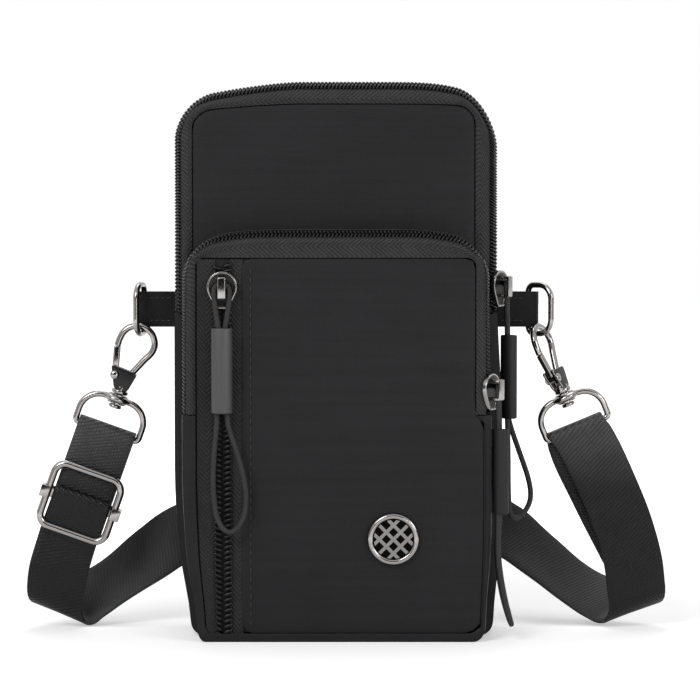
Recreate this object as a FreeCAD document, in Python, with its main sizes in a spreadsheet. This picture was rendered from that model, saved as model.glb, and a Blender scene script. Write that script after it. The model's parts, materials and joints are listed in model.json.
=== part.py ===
"""A phone pouch with a front pocket, three zips, a badge and a webbing shoulder strap on trigger hooks.

Millimetres. +X goes right in the front view, +Y goes back, +Z goes up.
The origin is the middle of the base, on the surface that the pouch stands on.
"""
import FreeCAD, Part
import math
import os
from types import SimpleNamespace

import Sketcher

Vec = FreeCAD.Vector

SIZES = [
    # pouch as a whole
    ("pouch_width", 108.0),
    ("pouch_height", 185.5),
    ("pouch_depth", 44.0),
    ("top_corner", 17.0),
    ("base_corner", 7.0),
    ("cloth", 1.6),
    ("lining", 0.6),
    ("clearance", 0.3),
    # zips
    ("tape_width", 4.6),
    ("tape_thickness", 0.8),
    ("rear_tape_width", 7.0),
    ("coil_rise", 2.7),
    ("coil_row", 2.9),
    ("main_zip_drop", 77.5),
    ("mouth_height", 44.5),
    # front pocket
    ("pocket_inset", 3.5),
    ("pocket_drop", 49.5),
    ("pocket_depth", 16.0),
    ("pocket_corner", 12.0),
    ("pocket_zip_drop", 61.0),
    ("pocket_coil_rise", 1.6),
    ("pocket_side_tape", 2.4),
    ("pocket_top_tape", 5.9),
    ("pocket_rear_tape", 4.0),
    ("pocket_hem", 2.0),
    # vertical zip on the front pocket
    ("front_zip_left_tape", 6.1),
    ("front_zip_coil", 6.2),
    ("front_zip_right_tape", 3.2),
    ("front_coil_proud", 0.4),
    ("inner_bag_gap", 7.5),
    # badge
    ("badge_diameter", 17.0),
    ("badge_inset", 27.5),
    ("badge_z", 34.3),
    ("badge_plate", 0.8),
    ("badge_rim_width", 1.9),
    ("badge_rim_height", 1.3),
    ("badge_bar", 1.1),
    ("badge_prong", 1.2),
    ("badge_prong_spread", 8.0),
    ("badge_washer", 12.0),
    # sliders and pulls
    ("slider_width", 10.0),
    ("slider_height", 12.4),
    ("slider_plate", 1.5),
    ("slider_flange", 0.4),
    ("bridge_width", 3.0),
    ("bridge_length", 6.0),
    ("bridge_rise", 2.9),
    ("pull_wire", 1.2),
    ("pull_loop_width", 5.2),
    ("pull_loop_length", 10.6),
    ("cord_diameter", 1.8),
    ("sleeve_width", 7.0),
    ("sleeve_depth", 5.8),
    ("sleeve_length", 28.0),
    ("sleeve_drop", 14.0),
    ("main_slider_rise", 8.5),
    ("pocket_slider_rise", 7.8),
    ("front_slider_drop", 12.1),
    # tabs and D rings
    ("tab_width", 12.0),
    ("tab_length", 11.5),
    ("tab_thickness", 4.6),
    ("tab_height", 109.0),
    ("tab_back", 7.4),
    ("ring_wire", 2.0),
    ("ring_height", 18.6),
    ("ring_depth", 12.0),
    ("ring_bar_bend", 2.5),
    ("ring_bow_bend", 5.0),
    ("ring_reach", 4.8),
    # trigger hooks and swivel loops
    ("hook_wire", 2.4),
    ("hook_width", 14.4),
    ("hook_length", 27.2),
    ("hook_shoulder", 19.0),
    ("hook_neck", 6.0),
    ("hook_bend", 5.5),
    ("gate_tip", 18.0),
    ("gate_pivot_x", 3.5),
    ("gate_pivot_z", 7.6),
    ("gate_thickness", 2.0),
    ("gate_width", 2.2),
    ("gate_rivet", 1.4),
    ("gate_knuckle", 3.4),
    ("cheek_thickness", 0.8),
    ("swivel_collar", 6.4),
    ("swivel_collar_height", 3.2),
    ("swivel_head", 4.6),
    ("swivel_head_height", 1.3),
    ("loop_wire", 2.2),
    ("loop_width", 24.8),
    ("loop_drop", 11.6),
    ("loop_shoulder_bend", 7.0),
    ("loop_foot_bend", 1.4),
    # webbing and adjuster
    ("web_width", 20.0),
    ("web_thickness", 1.4),
    ("web_slack", 0.2),
    ("left_return", 36.0),
    ("right_return", 26.0),
    ("web_drop", 45.0),
    ("buckle_wire", 2.5),
    ("buckle_width", 26.1),
    ("buckle_height", 24.5),
    ("buckle_bend", 4.0),
    ("buckle_drop", 25.5),
    ("buckle_bar_height", 4.0),
    ("buckle_bar_thickness", 2.0),
    ("hank_length", 90.0),
    ("hank_pitch", 3.2),
    ("hank_front", 28.0),
    ("tie_width", 10.0),
    ("tie_thickness", 0.8),
]
HANK_RUNS = 7
LEFT_TILT = 19.5
RIGHT_TILT = -22.5
LEFT_RING_TURN = -12.0
RIGHT_RING_TURN = 47.0
RIGHT_HOOK_TURN = 62.0

# Route of the webbing from each swivel loop's straight drop to the hank: middle of the band,
# then the way that its lower or outer edge points.
LEFT_ROUTE = [
    (-95.6, 8.8, 15.4, 0.95, 0.05, -0.30),
    (-96.7, 12.4, 8.4, 0.93, 0.15, -0.32),
    (-93.9, 17.6, 8.8, 0.84, 0.25, -0.46),
    (-87.0, 21.4, 12.6, 0.74, 0.22, -0.63),
    (-77.0, 24.4, 18.4, 0.64, 0.12, -0.76),
    (-65.0, 26.8, 24.4, 0.58, 0.05, -0.81),
    (-52.0, 28.3, 31.5, 0.55, 0.00, -0.83),
    (-38.0, 28.2, 35.5, 0.30, 0.00, -0.95),
    (-22.0, 28.0, 35.0, 0.00, 0.00, -1.00),
    (-4.0, 28.0, 28.5, -0.30, 0.00, -0.95),
    (13.0, 28.0, 20.0, -0.36, 0.00, -0.93),
    (28.0, 28.0, 13.2, -0.25, 0.00, -0.97),
]
RIGHT_ROUTE = [
    (101.6, 9.8, 15.4, 0.95, 0.03, 0.30),
    (103.2, 13.4, 8.9, 0.93, -0.15, 0.30),
    (100.2, 18.8, 8.6, 0.84, -0.25, 0.46),
    (93.6, 23.0, 11.8, 0.74, -0.22, 0.63),
    (83.2, 27.4, 17.6, 0.64, -0.20, 0.76),
    (71.4, 33.0, 24.0, 0.56, -0.20, 0.81),
    (57.0, 41.0, 31.5, 0.50, -0.20, 0.83),
    (42.0, 48.5, 35.0, 0.30, -0.10, 0.95),
    (25.0, 52.8, 34.5, 0.00, 0.00, 1.00),
    (6.0, 53.6, 28.0, -0.30, 0.00, 0.95),
    (-12.0, 53.6, 19.5, -0.36, 0.00, 0.93),
    (-28.0, 53.6, 13.0, -0.25, 0.00, 0.97),
]
# Route of a pull cord below its sleeve, from the hinge of the pull: across, and down.
PULL_LOOP_ROUTE = [
    (-1.6, -42.0),
    (-1.7, -46.5),
    (-4.4, -57.0),
    (-5.2, -68.5),
    (-3.7, -76.8),
    (0.0, -79.6),
    (3.7, -76.8),
    (5.2, -68.5),
    (4.4, -57.0),
    (1.7, -46.5),
    (1.6, -42.0),
]
RUN_SHARE = 0.45
ROUNDING_SHARE = 0.9
SLIDER_FOOT_SHARE = 0.7
SLIDER_HEAD_SHARE = 0.8
SLIDER_SHOULDER_SHARE = 0.4
FLANGE_SHARES = (-0.2, 0.5)
PULL_TOP_BEND_SHARE = 0.75
NECK_BEND_SHARE = 0.6
CHEEK_REACH_SHARE = 0.7
FLANGE_DISC_SHARE = 0.85
LOOP_START_SHARE = 0.4
CLIP_LIP_SHARE = 0.3
HANK_ENTRY_SHARE = 1.5
LATTICE_STEP_SHARES = (-0.5, 0.0, 0.5)
LATTICE_TURN = 45.0
QUARTERS = (0, 45, 90, 135, 180)


class Dim:
    """A length together with the sheet expression that it comes from."""

    def __init__(self, value, text):
        self.value = value
        self.text = text

    def __float__(self):
        return self.value

    def __neg__(self):
        return Dim(-self.value, f"-({self.text})")

    def __add__(self, other):
        other = as_dim(other)
        return Dim(self.value + other.value, f"({self.text} + {other.text})")

    def __sub__(self, other):
        other = as_dim(other)
        return Dim(self.value - other.value, f"({self.text} - {other.text})")

    def __mul__(self, share):
        return Dim(self.value * share, f"({self.text} * {share})")

    def __truediv__(self, share):
        return Dim(self.value / share, f"({self.text} / {share})")


def as_dim(item):
    """A bare number, such as zero, as a length without an expression of its own."""
    return item if isinstance(item, Dim) else Dim(float(item), repr(float(item)))


doc = FreeCAD.newDocument("PhonePouch")
sheet = doc.addObject("Spreadsheet::Sheet", "Sizes")
for row, (alias, number) in enumerate(SIZES, start=1):
    sheet.set(f"A{row}", alias)
    sheet.set(f"B{row}", str(number))
    sheet.setAlias(f"B{row}", alias)
doc.recompute()
S = SimpleNamespace(**{alias: Dim(float(sheet.get(alias)), f"Sizes.{alias}") for alias, _ in SIZES})
parts = []


def bind(item, prop, dim):
    """Tie one property to the sheet."""
    item.setExpression(prop, dim.text)


def place(item, x=0, y=0, z=0, rotation=None):
    """Put a piece at its place, tied to the sheet."""
    x, y, z = as_dim(x), as_dim(y), as_dim(z)
    item.Placement = FreeCAD.Placement(Vec(float(x), float(y), float(z)), rotation or FreeCAD.Rotation())
    for axis, dim in (("x", x), ("y", y), ("z", z)):
        bind(item, f"Placement.Base.{axis}", dim)


def new_body(label):
    body = doc.addObject("PartDesign::Body", label)
    parts.append(body)
    return body


def new_sketch(body, role, shift=None):
    """A sketch on one of the body's own origin planes, moved along the plane's normal."""
    plane = next(f for f in body.Origin.OriginFeatures if f.Role == role)
    sketch = body.newObject("Sketcher::SketchObject", f"{body.Name}_sketch")
    sketch.AttachmentSupport = [(plane, "")]
    sketch.MapMode = "FlatFace"
    if shift is not None:
        sketch.AttachmentOffset = FreeCAD.Placement(Vec(0, 0, float(shift)), FreeCAD.Rotation())
        bind(sketch, "AttachmentOffset.Base.z", shift)
    return sketch


def constrain(sketch, rules):
    """Add constraints, each with the length that drives it or None."""
    for rule, dim in rules:
        index = sketch.addConstraint(rule)
        if dim is not None:
            bind(sketch, f"Constraints[{index}]", dim)


def pin_point(geometry, position, x, y):
    """Rules that hold a sketch point at x, y from the sketch's origin."""
    x, y = as_dim(x), as_dim(y)
    return [
        (Sketcher.Constraint("DistanceX", -1, 1, geometry, position, float(x)), x),
        (Sketcher.Constraint("DistanceY", -1, 1, geometry, position, float(y)), y),
    ]


def corner_arc(before, corner, after, radius):
    """Tangent points, centre and turn sense of a rounded corner."""
    way_in = (corner - before).normalize()
    way_out = (after - corner).normalize()
    setback = radius * math.tan(way_in.getAngle(way_out) / 2)
    left = way_in.cross(way_out).z > 0
    side = Vec(-way_in.y, way_in.x, 0) * (1 if left else -1)
    first = corner - way_in * setback
    return first, corner + way_out * setback, first + side * radius, left


def draw_outline(sketch, corners, closed=True):
    """Lines through corners (x, y) or (x, y, radius), with a tangent arc at each radius."""
    spots = [Vec(float(c[0]), float(c[1]), 0) for c in corners]
    count = len(corners)
    bends = {}
    for i, corner in enumerate(corners):
        if len(corner) == 3:
            bends[i] = corner_arc(spots[i - 1], spots[i], spots[(i + 1) % count], float(corner[2]))
    lines = {}
    for i in range(count if closed else count - 1):
        j = (i + 1) % count
        start = bends[i][1] if i in bends else spots[i]
        end = bends[j][0] if j in bends else spots[j]
        lines[i] = sketch.addGeometry(Part.LineSegment(start, end))
    rules = []
    for i, corner in enumerate(corners):
        before = lines.get((i - 1) % count)
        after = lines.get(i)
        if i in bends:
            first, last, centre, left = bends[i]
            angles = [math.atan2(p.y - centre.y, p.x - centre.x) for p in (first, last)]
            if not left:
                angles.reverse()
            circle = Part.Circle(centre, Vec(0, 0, 1), float(corner[2]))
            arc = sketch.addGeometry(Part.ArcOfCircle(circle, *angles))
            mark = sketch.addGeometry(Part.Point(spots[i]), True)
            enter, leave = (1, 2) if left else (2, 1)
            rules.append((Sketcher.Constraint("Tangent", before, 2, arc, enter), None))
            rules.append((Sketcher.Constraint("Tangent", arc, leave, after, 1), None))
            rules.append((Sketcher.Constraint("PointOnObject", mark, 1, before), None))
            rules.append((Sketcher.Constraint("PointOnObject", mark, 1, after), None))
            rules.append((Sketcher.Constraint("Radius", arc, float(corner[2])), as_dim(corner[2])))
            rules += pin_point(mark, 1, corner[0], corner[1])
        else:
            if before is not None and after is not None:
                rules.append((Sketcher.Constraint("Coincident", before, 2, after, 1), None))
            line, end = (after, 1) if after is not None else (before, 2)
            rules += pin_point(line, end, corner[0], corner[1])
    constrain(sketch, rules)


def draw_circle(sketch, x, y, diameter):
    circle = Part.Circle(Vec(float(x), float(y), 0), Vec(0, 0, 1), float(diameter) / 2)
    index = sketch.addGeometry(circle)
    rules = pin_point(index, 3, x, y)
    rules.append((Sketcher.Constraint("Diameter", index, float(diameter)), diameter))
    constrain(sketch, rules)


def pad(body, sketch, length, reverse=False, symmetric=False):
    feature = body.newObject("PartDesign::Pad", f"{body.Name}_pad")
    feature.Profile = sketch
    feature.Length = float(length)
    bind(feature, "Length", length)
    feature.Reversed = reverse
    if symmetric:
        feature.SideType = "Symmetric"
    return feature


def pocket(body, sketch, length, reverse=False):
    feature = body.newObject("PartDesign::Pocket", f"{body.Name}_pocket")
    feature.Profile = sketch
    feature.Length = float(length)
    bind(feature, "Length", length)
    feature.Reversed = reverse
    return feature


def wall(label, corners, front, thickness):
    """A flat piece seen from the front, from its front face back."""
    body = new_body(label)
    sketch = new_sketch(body, "XZ_Plane")
    draw_outline(sketch, corners)
    pad(body, sketch, thickness, reverse=True)
    place(body, y=front)
    return body


def hoop(half, rim, crown, side, crown_wall, corner, inner_corner=None):
    """Corners of an arch, or of a trough when crown lies below rim and crown_wall is negative."""
    inside = half - side
    inner = crown - crown_wall
    bend = (inner_corner,) if inner_corner is not None else ()
    return [
        (-half, rim),
        (-half, crown, corner),
        (half, crown, corner),
        (half, rim),
        (inside, rim),
        (inside, inner, *bend),
        (-inside, inner, *bend),
        (-inside, rim),
    ]


def box(label, x, y, z, length, width, height):
    item = doc.addObject("Part::Box", label)
    for prop, dim in (("Length", length), ("Width", width), ("Height", height)):
        bind(item, prop, dim)
    place(item, x, y, z)
    return item


def cylinder(label, diameter, height):
    item = doc.addObject("Part::Cylinder", label)
    bind(item, "Radius", diameter / 2)
    bind(item, "Height", height)
    return item


def both_sides(label, item):
    """One node of two solids, a piece and its mirror image in the middle plane."""
    twin = doc.addObject("Part::Mirroring", f"{label}_twin")
    twin.Source = item
    twin.Normal = Vec(1, 0, 0)
    pair = doc.addObject("Part::Compound", label)
    pair.Links = [item, twin]
    parts.append(pair)


def bent_wire(body, corners, diameter, closed, upright=True):
    """Round wire along corners in the XZ plane; the first corner lies on a straight run."""
    spine = new_sketch(body, "XZ_Plane")
    draw_outline(spine, corners, closed)
    x, z = corners[0]
    if upright:
        section = new_sketch(body, "XY_Plane", as_dim(z))
        draw_circle(section, x, 0, diameter)
    else:
        section = new_sketch(body, "YZ_Plane", as_dim(x))
        draw_circle(section, 0, z, diameter)
    pipe = body.newObject("PartDesign::AdditivePipe", f"{body.Name}_pipe")
    pipe.Profile = section
    pipe.Spine = (spine, [])
    return pipe


# Places that several pieces share
half_width = S.pouch_width / 2
main_zip_end = S.pouch_height - S.main_zip_drop
flap_fold = S.pouch_height - S.mouth_height
fixed_top = flap_fold - S.clearance
front_y = -S.pouch_depth / 2
back_y = S.pouch_depth / 2
divider_y = front_y + S.pocket_depth
rear_coil_y = divider_y + S.coil_row + S.clearance
rear_tape_y = rear_coil_y + S.coil_row
gusset_y = rear_tape_y + S.rear_tape_width
back_inner_y = back_y - S.cloth
coil_inner = half_width - S.coil_rise
panel_half = coil_inner - S.tape_width
panel_top = S.pouch_height - S.coil_rise - S.tape_width
tape_corner = S.top_corner - S.coil_rise
panel_corner = tape_corner - S.tape_width
tape_y = divider_y + (S.cloth - S.tape_thickness) / 2


def make_main_compartment():
    """Back, gussets and the part of the main zip that stays put."""
    wall("back_panel", [
        (-half_width, 0, S.base_corner),
        (half_width, 0, S.base_corner),
        (half_width, S.pouch_height, S.top_corner),
        (-half_width, S.pouch_height, S.top_corner),
    ], back_inner_y, S.cloth)
    inside = half_width - S.cloth - S.clearance
    low = S.cloth + S.clearance
    wall("back_lining", [
        (-inside, low, S.base_corner - low),
        (inside, low, S.base_corner - low),
        (inside, S.pouch_height - low, S.top_corner - low),
        (-inside, S.pouch_height - low, S.top_corner - low),
    ], back_inner_y - S.lining, S.lining)
    gusset = hoop(half_width, main_zip_end, S.pouch_height, S.cloth, S.cloth,
                  S.top_corner, S.top_corner - S.cloth)
    wall("zip_gusset", gusset, gusset_y, back_inner_y - gusset_y)
    base = hoop(half_width, main_zip_end, as_dim(0), S.cloth, -S.cloth,
                S.base_corner, S.base_corner - S.cloth)
    wall("base_gusset", base, divider_y + S.cloth, back_inner_y - divider_y - S.cloth)
    tape_half = half_width - S.tape_thickness
    bend = S.top_corner - S.tape_thickness
    tape = hoop(tape_half, main_zip_end, S.pouch_height - S.tape_thickness, S.tape_thickness,
                S.tape_thickness, bend, bend - S.tape_thickness)
    wall("main_tape_rear", tape, rear_tape_y, S.rear_tape_width)
    coil = hoop(half_width, main_zip_end, S.pouch_height, S.coil_rise, S.coil_rise,
                S.top_corner, tape_corner)
    wall("main_coil_rear", coil, rear_coil_y, S.coil_row)
    leg = fixed_top - main_zip_end
    both_sides("main_coil_ends", box("coil_end", coil_inner, divider_y, main_zip_end,
                                     S.coil_rise, S.coil_row, leg))
    both_sides("main_tape_ends", box("tape_end", panel_half, tape_y, main_zip_end,
                                     S.tape_width, S.tape_thickness, leg))
    wall("divider_panel", [
        (-half_width, 0, S.base_corner),
        (half_width, 0, S.base_corner),
        (half_width, main_zip_end),
        (panel_half, main_zip_end),
        (panel_half, fixed_top),
        (-panel_half, fixed_top),
        (-panel_half, main_zip_end),
        (-half_width, main_zip_end),
    ], divider_y, S.cloth)


def make_mouth_flap():
    """Upper front panel, which folds forward above the front pocket once the zip is open."""
    wall("upper_panel", [
        (-panel_half, flap_fold),
        (panel_half, flap_fold),
        (panel_half, panel_top, panel_corner),
        (-panel_half, panel_top, panel_corner),
    ], divider_y, S.cloth)
    tape = hoop(coil_inner, flap_fold, panel_top + S.tape_width, S.tape_width, S.tape_width,
                tape_corner, panel_corner)
    wall("main_tape_front", tape, tape_y, S.tape_thickness)
    coil = hoop(half_width, flap_fold, S.pouch_height, S.coil_rise, S.coil_rise,
                S.top_corner, tape_corner)
    wall("main_coil_front", coil, divider_y, S.coil_row)


pocket_height = S.pouch_height - S.pocket_drop
pocket_zip_end = pocket_height - S.pocket_zip_drop
pocket_half = half_width - S.pocket_inset
pocket_coil_inner = pocket_half - S.pocket_coil_rise
pocket_panel_half = pocket_coil_inner - S.pocket_side_tape
pocket_tape_top = pocket_height - S.pocket_coil_rise
pocket_panel_top = pocket_tape_top - S.pocket_top_tape
pocket_inner_y = front_y + S.cloth
pocket_tape_y = front_y + (S.cloth - S.tape_thickness) / 2
pocket_rear_coil_y = front_y + S.coil_row
pocket_rear_tape_y = pocket_rear_coil_y + S.coil_row
pocket_gusset_y = pocket_rear_tape_y + S.pocket_rear_tape
front_coil_left = S.front_zip_left_tape - pocket_panel_half
front_coil_right = front_coil_left + S.front_zip_coil
front_zip_right = front_coil_right + S.front_zip_right_tape
front_coil_y = front_y - S.front_coil_proud
badge_x = pocket_panel_half - S.badge_inset


def make_front_pocket():
    """Pocket on the front, with a zip round its top and a second zip down its left side."""
    panel = wall("pocket_panel", [
        (front_zip_right, S.pocket_hem),
        (pocket_panel_half, S.pocket_hem),
        (pocket_panel_half, pocket_panel_top),
        (front_zip_right, pocket_panel_top),
    ], front_y, S.cloth)
    holes = new_sketch(panel, "XZ_Plane")
    for side in (-1, 1):
        x = badge_x + S.badge_prong_spread / 2 * side
        draw_circle(holes, x, S.badge_z, S.badge_prong + S.clearance)
    pocket(panel, holes, S.cloth)

    lip = hoop(pocket_half, pocket_zip_end, as_dim(0), pocket_half - pocket_panel_half,
               -S.pocket_hem, S.base_corner)
    gusset = wall("pocket_base_gusset", lip, front_y, S.cloth)
    tube = new_sketch(gusset, "XZ_Plane", -S.cloth)
    draw_outline(tube, hoop(pocket_half, pocket_zip_end, as_dim(0), S.cloth, -S.cloth,
                            S.base_corner, S.base_corner - S.cloth))
    pad(gusset, tube, S.pocket_depth - S.cloth, reverse=True)

    strip = hoop(pocket_half, pocket_zip_end, pocket_height, S.cloth, S.cloth,
                 S.pocket_corner, S.pocket_corner - S.cloth)
    wall("pocket_zip_gusset", strip, pocket_gusset_y, divider_y - pocket_gusset_y)
    coil_bend = S.pocket_corner - S.pocket_coil_rise
    front_tape = hoop(pocket_coil_inner, pocket_zip_end, pocket_tape_top, S.pocket_side_tape,
                      S.pocket_top_tape, coil_bend)
    wall("pocket_tape_front", front_tape, pocket_tape_y, S.tape_thickness)
    coil = hoop(pocket_half, pocket_zip_end, pocket_height, S.pocket_coil_rise,
                S.pocket_coil_rise, S.pocket_corner, coil_bend)
    wall("pocket_coil_front", coil, front_y, S.coil_row)
    wall("pocket_coil_rear", coil, pocket_rear_coil_y, S.coil_row)
    tape_bend = S.pocket_corner - S.tape_thickness
    rear_tape = hoop(pocket_half - S.tape_thickness, pocket_zip_end,
                     pocket_height - S.tape_thickness, S.tape_thickness, S.tape_thickness,
                     tape_bend, tape_bend - S.tape_thickness)
    wall("pocket_tape_rear", rear_tape, pocket_rear_tape_y, S.pocket_rear_tape)

    height = pocket_panel_top - S.pocket_hem
    tapes = doc.addObject("Part::Compound", "front_zip_tapes")
    tapes.Links = [
        box("left_tape", -pocket_panel_half, pocket_tape_y, S.pocket_hem,
            S.front_zip_left_tape, S.tape_thickness, height),
        box("right_tape", front_coil_right, pocket_tape_y, S.pocket_hem,
            S.front_zip_right_tape, S.tape_thickness, height),
    ]
    parts.append(tapes)
    parts.append(box("front_zip_coil", front_coil_left, front_coil_y, S.pocket_hem,
                     S.front_zip_coil, S.front_coil_proud + S.tape_thickness, height))
    bag_right = badge_x - S.badge_washer / 2 - S.inner_bag_gap
    parts.append(box("zip_pocket_bag", -pocket_panel_half, pocket_inner_y, S.pocket_hem,
                     bag_right + pocket_panel_half, S.lining, height))


def make_badge():
    """Round badge: dark plate with two prongs, a rounded rim, a plain lattice and a washer inside."""
    plate = new_body("badge_plate")
    disc = new_sketch(plate, "XZ_Plane")
    draw_circle(disc, 0, 0, S.badge_diameter)
    pad(plate, disc, S.badge_plate)
    prongs = new_sketch(plate, "XZ_Plane")
    for side in (-1, 1):
        draw_circle(prongs, S.badge_prong_spread / 2 * side, 0, S.badge_prong)
    pad(plate, prongs, S.cloth + S.lining, reverse=True)
    place(plate, badge_x, front_y, S.badge_z)

    rim = new_body("badge_rim")
    profile = new_sketch(rim, "XY_Plane")
    outer = S.badge_diameter / 2
    inner = outer - S.badge_rim_width
    base = -S.badge_plate
    crown = base - S.badge_rim_height
    bend = S.badge_rim_width * RUN_SHARE
    draw_outline(profile, [(inner, base), (inner, crown, bend), (outer, crown, bend), (outer, base)])
    turn = rim.newObject("PartDesign::Revolution", "badge_rim_turn")
    turn.Profile = profile
    turn.ReferenceAxis = (profile, ["V_Axis"])
    place(rim, badge_x, front_y, S.badge_z)

    bars = []
    for number, share in enumerate(LATTICE_STEP_SHARES):
        offset = inner * share - S.badge_bar / 2
        bars.append(box(f"upright_bar{number}", offset, base - S.badge_bar, -inner,
                        S.badge_bar, S.badge_bar, inner * 2))
        bars.append(box(f"level_bar{number}", -inner, base - S.badge_bar, offset,
                        inner * 2, S.badge_bar, S.badge_bar))
    grid = doc.addObject("Part::MultiFuse", "badge_grid")
    grid.Shapes = bars
    well = cylinder("badge_well", inner * 2 - S.clearance, S.badge_plate + S.badge_bar)
    well.Placement = FreeCAD.Placement(Vec(), FreeCAD.Rotation(Vec(1, 0, 0), 90))
    lattice = doc.addObject("Part::Common", "badge_lattice")
    lattice.Base = grid
    lattice.Tool = well
    place(lattice, badge_x, front_y, S.badge_z, FreeCAD.Rotation(Vec(0, 1, 0), LATTICE_TURN))
    parts.append(lattice)

    washer = new_body("badge_washer")
    ring = new_sketch(washer, "XZ_Plane")
    draw_circle(ring, 0, 0, S.badge_washer)
    for side in (-1, 1):
        draw_circle(ring, S.badge_prong_spread / 2 * side, 0, S.badge_prong + S.clearance)
    pad(washer, ring, S.lining, reverse=True)
    place(washer, badge_x, pocket_inner_y, S.badge_z)


bridge_y = -(S.clearance + S.slider_plate)
pull_y = bridge_y - S.bridge_rise / 2
pull_z = S.bridge_length / 4
main_slider_z = main_zip_end + S.main_slider_rise
pocket_slider_z = pocket_zip_end + S.pocket_slider_rise
front_slider_z = pocket_panel_top - S.front_slider_drop


def make_slider(label, coil_width, x, y, z, turn):
    """Zip slider: face plate, two flanges beside the coil and the bridge that holds the pull."""
    body = new_body(label)
    wide = S.slider_width / 2
    tall = S.slider_height / 2
    bend = S.slider_plate
    face = new_sketch(body, "XZ_Plane", S.clearance)
    draw_outline(face, [
        (-wide * SLIDER_FOOT_SHARE, -tall, bend),
        (wide * SLIDER_FOOT_SHARE, -tall, bend),
        (wide, tall * SLIDER_SHOULDER_SHARE, bend),
        (wide * SLIDER_HEAD_SHARE, tall, bend),
        (-wide * SLIDER_HEAD_SHARE, tall, bend),
        (-wide, tall * SLIDER_SHOULDER_SHARE, bend),
    ])
    pad(body, face, S.slider_plate)
    flanges = new_sketch(body, "XZ_Plane", S.clearance)
    inner = coil_width / 2 + S.clearance
    foot, head = (tall * share for share in FLANGE_SHARES)
    outer = wide * ROUNDING_SHARE
    for side in (-1, 1):
        draw_outline(flanges, [
            (inner * side, foot),
            (outer * side, foot),
            (outer * side, head),
            (inner * side, head),
        ])
    pad(body, flanges, S.clearance + S.slider_flange, reverse=True)
    bridge = new_sketch(body, "YZ_Plane")
    low = pull_z - S.bridge_length / 2
    high = pull_z + S.bridge_length / 2
    crown = bridge_y - S.bridge_rise
    bend = S.bridge_rise * RUN_SHARE
    draw_outline(bridge, [(bridge_y, low), (bridge_y, high), (crown, high, bend), (crown, low, bend)])
    draw_circle(bridge, pull_y, pull_z, S.pull_wire + S.clearance * 2)
    pad(body, bridge, S.bridge_width, symmetric=True)
    place(body, x, y, z, FreeCAD.Rotation(Vec(0, 0, 1), turn))


def rounded_path(points):
    """Straight runs joined by arcs, each as large as its two runs allow, and the arcs' radii."""
    edges = []
    radii = []
    start = points[0]
    for before, corner, after in zip(points, points[1:], points[2:]):
        way_in = (corner - before).normalize()
        way_out = (after - corner).normalize()
        half_turn = way_in.getAngle(way_out) / 2
        setback = RUN_SHARE * min(before.distanceToPoint(corner), corner.distanceToPoint(after))
        radius = setback / math.tan(half_turn)
        first = corner - way_in * setback
        last = corner + way_out * setback
        inward = (way_out - way_in).normalize()
        middle = corner + inward * (radius / math.cos(half_turn) - radius)
        edges.append(Part.LineSegment(start, first).toShape())
        edges.append(Part.Arc(first, middle, last).toShape())
        radii.append(round(radius, 1))
        start = last
    edges.append(Part.LineSegment(start, points[-1]).toShape())
    return Part.Wire(edges), radii


def tube_along(path, diameter):
    """Round cord along a wire, checked against its section times its length."""
    start = path.OrderedVertexes[0].Point
    way = path.OrderedEdges[0].tangentAt(path.OrderedEdges[0].FirstParameter)
    circle = Part.Wire(Part.Circle(start, way, diameter / 2).toShape())
    tube = path.makePipeShell([circle], True, False)
    expected = math.pi * diameter ** 2 / 4 * path.Length
    print(f"  tube of {path.Length:.1f} mm, volume {tube.Volume / expected:.4f} of section times length")
    return tube


def shape_part(label, shape, placement=None):
    item = doc.addObject("Part::Feature", label)
    item.Shape = shape
    if placement is not None:
        item.Placement = placement
    parts.append(item)
    return item


def make_pull(prefix, x, y, z, turn):
    """Wire loop on the bridge, cord over it, rubber sleeve, and the cord's loop below."""
    rotation = FreeCAD.Rotation(Vec(0, 0, 1), turn)
    wire = new_body(f"{prefix}_pull_wire")
    half = S.pull_loop_width / 2
    tight = S.pull_wire * PULL_TOP_BEND_SHARE
    bent_wire(wire, [
        (half, -S.pull_loop_length / 2),
        (half, 0, tight),
        (-half, 0, tight),
        (-half, -S.pull_loop_length, half * ROUNDING_SHARE),
        (half, -S.pull_loop_length, half * ROUNDING_SHARE),
    ], S.pull_wire, closed=True)
    place(wire, x, y, z, rotation)

    sleeve = new_body(f"{prefix}_sleeve")
    section = new_sketch(sleeve, "XY_Plane")
    wide = S.sleeve_width / 2
    deep = S.sleeve_depth / 2
    bend = deep * ROUNDING_SHARE
    draw_outline(section, [
        (-wide, -deep, bend),
        (wide, -deep, bend),
        (wide, deep, bend),
        (-wide, deep, bend),
    ])
    pad(sleeve, section, S.sleeve_length, reverse=True)
    place(sleeve, x, y, z - S.sleeve_drop, rotation)

    cord = float(S.cord_diameter)
    reach = float(S.pull_wire + S.cord_diameter) / 2 + float(S.clearance) / 2
    top = -float(S.pull_loop_length)
    drop = -float(S.sleeve_drop)
    over = Part.Wire([
        Part.LineSegment(Vec(0, -reach, drop), Vec(0, -reach, top)).toShape(),
        Part.Arc(Vec(0, -reach, top), Vec(0, 0, top + reach), Vec(0, reach, top)).toShape(),
        Part.LineSegment(Vec(0, reach, top), Vec(0, reach, drop)).toShape(),
    ])
    below, radii = rounded_path([Vec(across, 0, down) for across, down in PULL_LOOP_ROUTE])
    print(f"{prefix}_pull_cord arcs {radii}")
    shape = Part.makeCompound([tube_along(over, cord), tube_along(below, cord)])
    shape_part(f"{prefix}_pull_cord", shape,
               FreeCAD.Placement(Vec(float(x), float(y), float(z)), rotation))


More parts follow.
